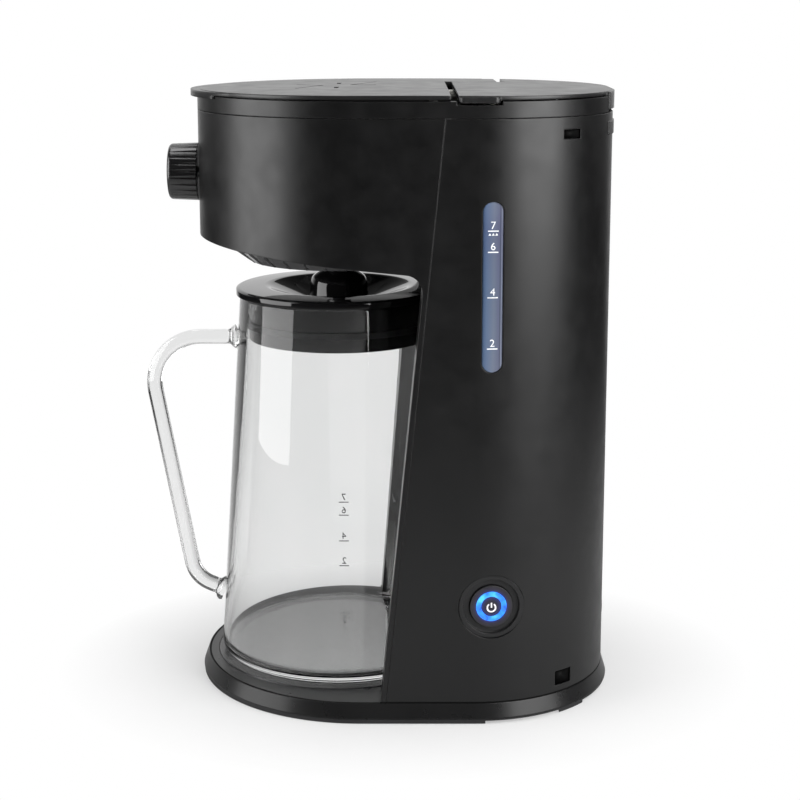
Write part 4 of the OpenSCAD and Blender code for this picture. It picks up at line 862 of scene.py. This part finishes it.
@dataclass
class PowerSwitch(Assembly):
    """Power button with its bezel, light ring, printed symbol and board."""

    x: float = 56.5
    z: float = 59.5
    wall: Wall = Wall(69.0)
    face: float = -1.2
    out: float = 0.03
    ring_r: float = 7.0
    sign_r: float = 2.05
    sign: Point = (0.75, 0.12)
    sign_low: float = 0.6
    sign_start: float = 125.0
    sign_turn: float = 290.0
    sign_steps: int = 40
    stroke: float = 2.5
    finishes: Wear = (
        (Moulding("bezel_black", (0.009, 0.009, 0.0095), (0.014, 0.014, 0.0145), rough=(0.3, 0.4),
                  edge=0.0005), "button_bezel"),
        (Glow("light_blue"), "led_ring"), (BoardGreen("board_green"), "power_board"),
        (Metal("board_screw_steel", (0.4, 0.4, 0.41), (0.62, 0.62, 0.63)), "board_screws"),
        (Moulding("switch_grey", (0.03, 0.03, 0.032), (0.05, 0.05, 0.052)), "tact_switch"))
    ink: Print = Print("sign_white", (0.86, 0.84, 0.9), (0.72, 0.7, 0.78))

    def dress(self) -> None:
        """Give the switch's solids their finishes, with a painted glow round the middle of the cap."""
        spot = self.wall.place(self.x, self.z, self.face).translation
        cap = ButtonCap("button_cap", tuple(spot), self.ring_r * MM)
        self.wear((*self.finishes, (cap, "power_button")))

    def build(self) -> None:
        """Print the power symbol on the cap: an open ring with a stroke."""
        place = self.wall.place(self.x, self.z - self.sign_low, self.face + self.out)
        corner = Matrix.Translation((self.sign_r * MM, 0.0, 0.0)) @ Matrix.Rotation(QUARTER, 4, "X")
        ring = self.strip(self.sign, Matrix.Rotation(math.radians(self.sign_start), 4, "Z") @ corner)
        bmesh.ops.spin(ring, geom=ring.verts[:] + ring.edges[:] + ring.faces[:], cent=ORIGIN, axis=UP,
                       dvec=ORIGIN, angle=math.radians(self.sign_turn), steps=self.sign_steps)
        bmesh.ops.recalc_face_normals(ring, faces=ring.faces[:])
        bmesh.ops.transform(ring, matrix=place, verts=ring.verts[:])
        lifted = place @ Matrix.Translation((0.0, self.stroke / 2.0 * MM, 0.0))
        stroke = self.bar((self.sign[0], self.stroke, self.sign[1]), lifted)
        self.piece(self.gather([ring, stroke]), "power_sign", self.ink.make(), Body.BUTTON, Slot.WHITE)


@dataclass
class StrengthKnob(Assembly):
    """Ridged strength knob with its shaft, bush and selector disc."""

    finishes: Wear = (
        (Moulding("knob_black", (0.006, 0.006, 0.0063), (0.009, 0.009, 0.0093), rough=(0.2, 0.24),
                  grain_strength=0.06, edge=0.0007, shine=0.8), "strength_knob"),
        (Metal("shaft_steel", (0.42, 0.42, 0.43), (0.66, 0.66, 0.67), streak=(0.06, 1.0, 1.0)), "knob_shaft"),
        (Moulding("nylon", (0.5, 0.49, 0.44), (0.58, 0.57, 0.52), rough=(0.4, 0.5)),
         "knob_bush selector_disc"))


@dataclass
class BrewGroup(Assembly):
    """Brew basket, filter and drip valve with its wound spring."""

    axis_x: float = -19.8
    coil_r: float = 4.2
    wire_r: float = 0.45
    wire_facets: int = 14
    turns: int = 5
    turn_steps: int = 40
    coil_low: float = 224.85
    coil_high: float = 235.45
    seat_z: float = 236.0
    pressed: float = 0.74
    finishes: Wear = (
        # Painted light: the basket's black is raised to grey, standing in for the lit floor mirrored in its
        # ribs.
        (Moulding("basket_black_painted_light", (0.075, 0.075, 0.076), (0.09, 0.09, 0.091), rough=(0.2, 0.26), shine=0.9),
         "brew_basket"),
        (Moulding("filter_black", (0.016, 0.016, 0.017), (0.024, 0.024, 0.025)), "filter_frame valve_cage"),
        (WovenMesh("filter_net"), "filter_mesh"),
        (Soft("valve_silicone", (0.03, 0.03, 0.032), (0.05, 0.05, 0.052)), "drip_valve"))
    spring: Metal = Metal("spring_steel", (0.45, 0.45, 0.46), (0.7, 0.7, 0.71))

    def build(self) -> None:
        """Wind the valve's spring at one length, though the real one shortens as the valve is raised."""
        bm = bmesh.new()
        start = Matrix.Translation(((self.axis_x + self.coil_r) * MM, 0.0, self.coil_low * MM))
        bmesh.ops.create_circle(bm, cap_ends=True, segments=self.wire_facets, radius=self.wire_r * MM,
                                matrix=start @ Matrix.Rotation(QUARTER, 4, "X"))
        steps = self.turns * self.turn_steps
        climb = (self.coil_high - self.coil_low) * MM / steps
        ring = self.swing(bm, bm.edges[:], (self.axis_x * MM, 0.0, 0.0), self.turns * 2.0 * math.pi, steps,
                          climb=climb)
        coil = self.piece(self.close(bm, ring), "valve_coil", self.spring.make(), Body.MACHINE, Slot.STEEL)
        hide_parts("valve_spring")
        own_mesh(coil)


@dataclass
class WaterWorks(Assembly):
    """Tank, heater, hoses and spout inside the tower."""

    finishes: Wear = (
        (Moulding("tank_grey", (0.13, 0.145, 0.165), (0.17, 0.185, 0.205), rough=(0.25, 0.38), coat=0.2),
         "water_tank"),
        (Moulding("sieve_white", (0.5, 0.5, 0.48), (0.58, 0.58, 0.56)), "tank_strainer"),
        (Metal("cast_aluminium", (0.3, 0.31, 0.32), (0.5, 0.51, 0.52), rough=(0.35, 0.55), streak=EVEN),
         "heater"),
        (Metal("bracket_steel", (0.4, 0.41, 0.42), (0.6, 0.61, 0.62), streak=(0.08, 1.0, 1.0)),
         "heater_bracket bracket_screws hose_clamps"),
        (Soft("silicone_hose", (0.66, 0.65, 0.6), (0.8, 0.79, 0.74), rough=(0.35, 0.5), milk=0.25),
         "feed_hose inlet_hose riser_hose"),
        (Moulding("resin", (0.42, 0.4, 0.34), (0.5, 0.48, 0.41), rough=(0.4, 0.5)), "thermostat"),
        (Moulding("fitting_white", (0.6, 0.59, 0.54), (0.68, 0.67, 0.62), rough=(0.35, 0.48)),
         "check_valve water_spout"))


@dataclass
class GlassJug(Assembly):
    """Tapered glass jug with a fused rod handle, its glossy funnel lid and its level marks."""

    axis_x: float = -19.8
    foot_z: float = 10.8
    top_z: float = 200.6
    foot_r: float = 63.3
    mouth_r: float = 51.0
    glass_t: float = 2.6
    floor_t: float = 3.4
    foot_round: float = 5.0
    lip_round: float = 0.8
    heel: float = 5.0
    section: float = 3.75
    corner: float = 2.3
    twist: float = 24.0
    rod_r: float = 4.0
    grip_x: float = -91.8
    arm_z: float = 177.8
    low_z: float = 42.5
    lean: float = 10.4
    bend: float = 24.5
    bend_steps: int = 28
    foot_bend: float = 16.0
    foot_steps: int = 18
    # Steps away from the glass and radii of the rod, in millimetres.
    upper_root: tuple[Point, ...] = ((1.2, 6.6), (1.6, 5.7), (1.2, 4.3), (1.4, 3.9), (1.6, 4.05), (2.0, 4.0))
    # Shares of the last stretch to the glass, and radii of the rod in millimetres.
    lower_root: tuple[Point, ...] = ((0.22, 4.05), (0.18, 3.9), (0.15, 4.3), (0.13, 5.7), (0.18, 6.4),
                                     (0.14, 6.0))
    root_turn: float = 22.0
    lid_z: float = 200.9
    # Radius of each corner and its height over the jug's mouth, from the dome's top round to its inside.
    lid_profile: tuple[Point, ...] = (
        (0.0, 13.3), (10.2, 12.1), (14.4, 8.0), (15.4, -2.3), (16.2, -3.35), (19.6, -2.9), (37.0, 4.6),
        (51.6, 4.0), (53.0, 3.4), (53.0, 0.0), (47.9, 0.0), (47.9, -22.5), (45.9, -22.5), (45.9, -5.5),
        (19.6, -5.5), (16.2, -5.5), (13.4, -5.5), (12.4, 6.3), (0.0, 10.3))
    lid_rounds: tuple[tuple[int, float], ...] = ((1, 4.0), (2, 3.0), (6, 1.6), (7, 0.5), (8, 0.5), (9, 0.6),
                                                 (11, 0.6), (12, 0.6))
    slots: int = 10
    slot_reach: Point = (16.2, 19.6)
    slot_half: float = 4.6
    slot_top: float = -1.0
    marks: Marks = (("2", 29.3), ("4", 43.7), ("6", 58.6), ("7", 66.1))
    line: Triple = (5.8, 0.5, 0.1)
    digit_h: float = 3.8
    digit_lift: float = 2.8
    out: float = 0.03
    glass: ClearGlass = ClearGlass("jug_glass_clear")
    gloss: Moulding = Moulding("gloss_black", (0.0035, 0.0035, 0.0038), (0.0055, 0.0055, 0.0058),
                               rough=(0.04, 0.07), grain=60.0, grain_strength=0.03, edge=0.0004, shine=0.5)
    finishes: Wear = ((Soft("seal_grey", (0.03, 0.03, 0.031), (0.055, 0.055, 0.056)), "lid_gasket"),)
    ink: Print = Print("mark_grey", (0.05, 0.05, 0.05), (0.12, 0.12, 0.12))

    def wall_r(self, z: float) -> float:
        """Outer radius of the glass at a height, in millimetres."""
        share = (z - self.foot_z - self.foot_round) / (self.top_z - self.foot_z - self.foot_round)
        return self.foot_r + (self.mouth_r - self.foot_r) * share

    def build(self) -> None:
        """Make the glass, the handle, the lid and the marks."""
        clear = self.glass.make()
        body = self.piece(self.blown(), "jug_body", clear, Body.JUG, Slot.GLASS, crease=50.0)
        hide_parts("jug_glass")
        handle = self.piece(self.rod(), "jug_rod_handle", clear, Body.JUG, Slot.GLASS, crease=60.0)
        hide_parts("jug_handle")
        gloss = self.gloss.make()
        lid = self.piece(self.cover(), "jug_funnel_lid", gloss, Body.JUG_COVER, Slot.GLOSS, crease=40.0)
        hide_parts("jug_lid")
        marks = self.levels(self.marks, self.line, self.digit_h, self.digit_lift, self.far_side)
        self.piece(self.gather(marks), "jug_marks", self.ink.make(), Body.JUG, Slot.WHITE)

    def blown(self) -> Shape:
        """Spun glass with a rounded foot, a rounded lip and a thick floor."""
        floor = self.foot_z + self.floor_t
        points = ((0.0, self.foot_z), (self.foot_r, self.foot_z), (self.mouth_r, self.top_z),
                  (self.mouth_r - self.glass_t, self.top_z), (self.foot_r - self.glass_t, floor),
                  (0.0, floor))
        rounds = ((1, self.foot_round), (2, self.lip_round), (3, self.lip_round), (4, self.heel))
        return self.spun(points, rounds, self.axis_x)

    def rod(self) -> Shape:
        """Glass rod drawn from one fused root to the other round both bends."""
        bm = bmesh.new()
        lean = math.radians(self.lean)
        start = self.axis_x - self.wall_r(self.arm_z)
        turned = Matrix.Rotation(-QUARTER, 4, "Y") @ Matrix.Rotation(math.radians(self.twist), 4, "Z")
        place = Matrix.Translation((start * MM, 0.0, self.arm_z * MM)) @ turned
        bmesh.ops.create_grid(bm, x_segments=1, y_segments=1, size=self.section * MM)
        bmesh.ops.bevel(bm, geom=bm.verts[:], offset=self.corner * MM, offset_type="OFFSET", segments=7,
                        profile=0.5, affect="VERTICES", material=-1)
        bmesh.ops.transform(bm, matrix=place, verts=bm.verts[:])
        ring = bm.edges[:]
        for step, radius in self.upper_root:
            ring = self.pull(bm, ring, Vector((-step * MM, 0.0, 0.0)), radius)
        arm = self.grip_x - self.middle(ring).x / MM
        ring = self.pull(bm, ring, Vector((arm * MM, 0.0, 0.0)), self.rod_r)
        centre = (self.grip_x * MM, 0.0, (self.arm_z - self.bend) * MM)
        ring = self.swing(bm, ring, centre, -QUARTER - lean, self.bend_steps, ASIDE)
        drop = self.middle(ring).z - (self.low_z + self.foot_bend * (1.0 - math.sin(lean))) * MM
        ring = self.pull(bm, ring, Vector((drop * math.tan(lean), 0.0, -drop)), self.rod_r)
        root = math.radians(self.root_turn)
        low_x = self.middle(ring).x + self.foot_bend * math.cos(lean) * MM
        centre = (low_x, 0.0, (self.low_z + self.foot_bend) * MM)
        ring = self.swing(bm, ring, centre, lean + root - QUARTER, self.foot_steps, ASIDE)
        left = self.axis_x - self.wall_r(self.low_z) - self.middle(ring).x / MM
        for share, radius in self.lower_root:
            ring = self.pull(bm, ring, Vector((1.0, 0.0, -math.tan(root))) * share * left * MM, radius)
        return self.close(bm, ring)

    @staticmethod
    def middle(ring: Rim) -> Vector:
        """Centre of a ring of edges."""
        spots = ends(ring)
        return sum((v.co for v in spots), Vector()) / len(spots)

    def pull(self, bm: Shape, ring: Rim, step: Vector, radius: float) -> Rim:
        """Draw a ring on by a step in metres and set its radius in millimetres."""
        edges = self.carry(bm, ring, step)
        fresh = ends(edges)
        centre = self.middle(edges)
        factor = radius * MM / (sum((v.co - centre).length for v in fresh) / len(fresh))
        bmesh.ops.scale(bm, vec=(factor,) * 3, space=Matrix.Translation(-centre), verts=fresh)
        return edges

    def cover(self) -> Shape:
        """Spun lid: wide rim, funnel with drain slots, raised dome and a deep skirt."""
        points = tuple((r, self.lid_z + z) for r, z in self.lid_profile)
        bm = self.spun(points, self.lid_rounds, self.axis_x)
        self.drain(bm)
        return bm

    def drain(self, bm: Shape) -> None:
        """Open the drain slots round the dome's foot, through the funnel's floor."""
        axis = Vector((self.axis_x * MM, 0.0, 0.0))
        pitch = 2.0 * math.pi / self.slots
        inner, outer = self.slot_reach
        gone = []
        for face in bm.faces:
            spot = face.calc_center_median() - axis
            reach = math.hypot(spot.x, spot.y) / MM
            off = abs((math.atan2(spot.y, spot.x) + pitch / 2.0) % pitch - pitch / 2.0)
            low = spot.z < (self.lid_z + self.slot_top) * MM
            if low and inner < reach < outer and off < math.radians(self.slot_half):
                gone.append(face)
        bmesh.ops.delete(bm, geom=gone, context="FACES")
        rims: dict[int, Rim] = {}
        for edge in bm.edges:
            if edge.is_boundary:
                spot = (edge.verts[0].co + edge.verts[1].co) / 2.0 - axis
                rims.setdefault(round(math.atan2(spot.y, spot.x) / pitch) % self.slots, []).append(edge)
        for edges in rims.values():
            bmesh.ops.bridge_loops(bm, edges=edges)
        bmesh.ops.recalc_face_normals(bm, faces=bm.faces[:])

    def far_side(self, z: float) -> Matrix:
        """Place on the far side of the glass at a height, with +Z outwards and +Y up."""
        slope = math.atan((self.foot_r - self.mouth_r) / (self.top_z - self.foot_z - self.foot_round))
        place = Matrix.Rotation(math.pi, 4, "Z") @ Matrix.Rotation(QUARTER - slope, 4, "X")
        spot = Vector((self.axis_x, self.wall_r(z) + self.out, z)) * MM
        return Matrix.Translation(spot) @ place


@dataclass
class Studio:
    """Pale floor, white surroundings, soft boxes and the camera."""

    eye: Triple = (0.01179, -0.89538, 0.35459)
    pitch: float = 0.19021
    focal_px: float = 1755.0
    shift_px: float = -72.0
    frame_px: float = 800.0
    sensor: float = 36.0
    lamps: tuple[tuple[str, Triple, Point, float], ...] = (
        ("left_box", (-0.8, -0.26, 0.35), (0.68, 0.9), 8.3),
        ("right_box", (0.656, -0.513, 0.53), (0.7, 0.9), 12.5),
        ("top_box", (0.0, 0.15, 1.1), (0.8, 0.6), 5.0),
    )
    aim: Triple = (0.0, 0.0, 0.16)
    floor_r: float = 12.0
    floor_inset: float = 11.0
    pale: Stops = ((0.3, (0.58, 0.58, 0.58)), (0.7, (0.62, 0.62, 0.62)))
    # Floor as glossy pieces mirror it, over the distance in metres.
    mirrored: Stops = ((0.3, (0.45, 0.45, 0.45)), (0.7, (0.17, 0.17, 0.17)), (1.0, (0.03, 0.03, 0.03)))
    # Factors to the shadowed patch under the object, its centre, and the white from its edge outwards.
    footprint: Triple = (9.5, 11.8, 1.0)
    middle: Triple = (0.0137, 0.0, 0.0)
    fade: tuple[float, float, float, float] = (1.0, 1.75, 0.4, 1.0)
    # Share of the way backwards over which the floor turns white, in satin reflections and in the glass.
    satin_way: Point = (0.78, 0.94)
    glass_way: Point = (0.25, 0.75)
    glass_white: float = 0.84
    # Light of the surroundings: the even fill, then front and back for each kind of ray.
    fill: float = 0.26
    skies: tuple[tuple[str, tuple[float, float, float, float]], ...] = (
        ("Is Glossy Ray", (0.35, 0.8, 0.03, 1.0)),
        ("Is Transmission Ray", (0.45, 0.85, 0.1, 0.86)),
        ("Is Camera Ray", (0.0, 1.0, 1.0, 1.0)),
    )

    def build(self) -> None:
        """Make the floor, the world, the lamps and the camera."""
        self.floor()
        self.world()
        for name, place, size, power in self.lamps:
            self.lamp(name, Vector(place), size, power)
        self.camera()

    def floor(self) -> None:
        """Pale floor that keeps the object's shadow near it and runs out to plain white."""
        bm = bmesh.new()
        bmesh.ops.create_circle(bm, cap_ends=True, segments=96, radius=self.floor_r)
        bmesh.ops.inset_region(bm, faces=bm.faces[:], thickness=self.floor_inset)
        mesh = bpy.data.meshes.new("studio_floor")
        bm.to_mesh(mesh)
        bm.free()
        thing = put("studio_floor", mesh)
        mesh.materials.append(self.floor_paint())

    def floor_paint(self) -> bpy.types.Material:
        """Paint of the floor: lit white for the eye, behind the object and through the glass."""
        tree = Tree("studio_floor")
        path = tree.add("ShaderNodeLightPath").outputs
        plain, dim = tree.add("ShaderNodeBsdfDiffuse"), tree.add("ShaderNodeBsdfDiffuse")
        tree.join(tree.ramp(tree.noise(14.0, 3.0), self.pale), plain.inputs["Color"])
        reach = tree.reach(tree.coords())
        tree.join(tree.ramp(reach, self.mirrored), dim.inputs["Color"])
        lit = tree.add("ShaderNodeEmission")
        white = tree.remap(path["Is Transmission Ray"], 0.0, 1.0, 1.0, self.glass_white)
        tree.join(white, lit.inputs["Strength"])
        way = tree.reckon("DIVIDE", tree.split(tree.coords())["Y"], reach)
        satin = tree.reckon("MULTIPLY", tree.remap(way, *self.satin_way, 0.0, 1.0), path["Is Glossy Ray"])
        sharp = tree.reckon("MAXIMUM", path["Is Transmission Ray"], path["Is Singular Ray"])
        glass = tree.reckon("MULTIPLY", tree.remap(way, *self.glass_way, 0.0, 1.0), sharp)
        seen = tree.reckon("MAXIMUM", path["Is Camera Ray"], tree.reckon("MAXIMUM", satin, glass))
        share = tree.remap(tree.reach(tree.coords(self.footprint, self.middle)), *self.fade)
        lower = tree.blend(path["Is Glossy Ray"], plain.outputs[0], dim.outputs[0])
        whole = tree.blend(tree.reckon("MULTIPLY", share, seen), lower, lit.outputs[0])
        tree.join(whole, tree.output.inputs["Surface"])
        return tree.owner

    def world(self) -> None:
        """White behind the object and for the eye, dim in front, and an even fill."""
        tree = Tree("studio", world=True)
        bpy.context.scene.world = tree.owner
        path = tree.add("ShaderNodeLightPath").outputs
        way = tree.split(tree.add("ShaderNodeTexCoord").outputs["Generated"])["Y"]
        last = tree.add("ShaderNodeBackground", Color=(*WHITE, 1.0), Strength=self.fill).outputs[0]
        for ray, ends in self.skies:
            sky = tree.add("ShaderNodeBackground", Color=(*WHITE, 1.0))
            tree.join(tree.remap(way, *ends, ease="SMOOTHSTEP"), sky.inputs["Strength"])
            last = tree.blend(path[ray], last, sky.outputs[0])
        tree.join(last, tree.output.inputs["Surface"])

    def lamp(self, name: str, place: Vector, size: Point, power: float) -> None:
        """Soft box of a size in metres and a power in watts, which looks at the object."""
        light = bpy.data.lights.new(name, "AREA")
        light.shape = "RECTANGLE"
        light.size, light.size_y = size
        light.energy = power
        thing = put(name, light)
        thing.location = place
        thing.rotation_euler = (Vector(self.aim) - place).to_track_quat("-Z", "Y").to_euler()

    def camera(self) -> None:
        """Camera at the photograph's place, tilted down, with a small shift."""
        data = bpy.data.cameras.new("camera")
        data.sensor_width = self.sensor
        data.lens = self.focal_px * self.sensor / self.frame_px
        data.shift_y = self.shift_px / self.frame_px
        data.clip_start = 0.01
        thing = put("camera", data)
        thing.location = self.eye
        thing.rotation_euler = (QUARTER - self.pitch, 0.0, 0.0)
        bpy.context.scene.camera = thing


def main() -> None:
    """Dress the solids, add the pieces and set the studio."""
    logging.basicConfig(level=logging.INFO, format="%(message)s")
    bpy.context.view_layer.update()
    Studio().build()
    assemblies: tuple[Assembly, ...] = (Housing(), LidPair(), WaterWindow(), PowerSwitch(), StrengthKnob(),
                                        BrewGroup(), WaterWorks(), GlassJug())
    for assembly in assemblies:
        assembly.dress()
        assembly.build()
    bpy.context.scene.view_settings.view_transform = "Standard"


if __name__ == "__main__":
    main()
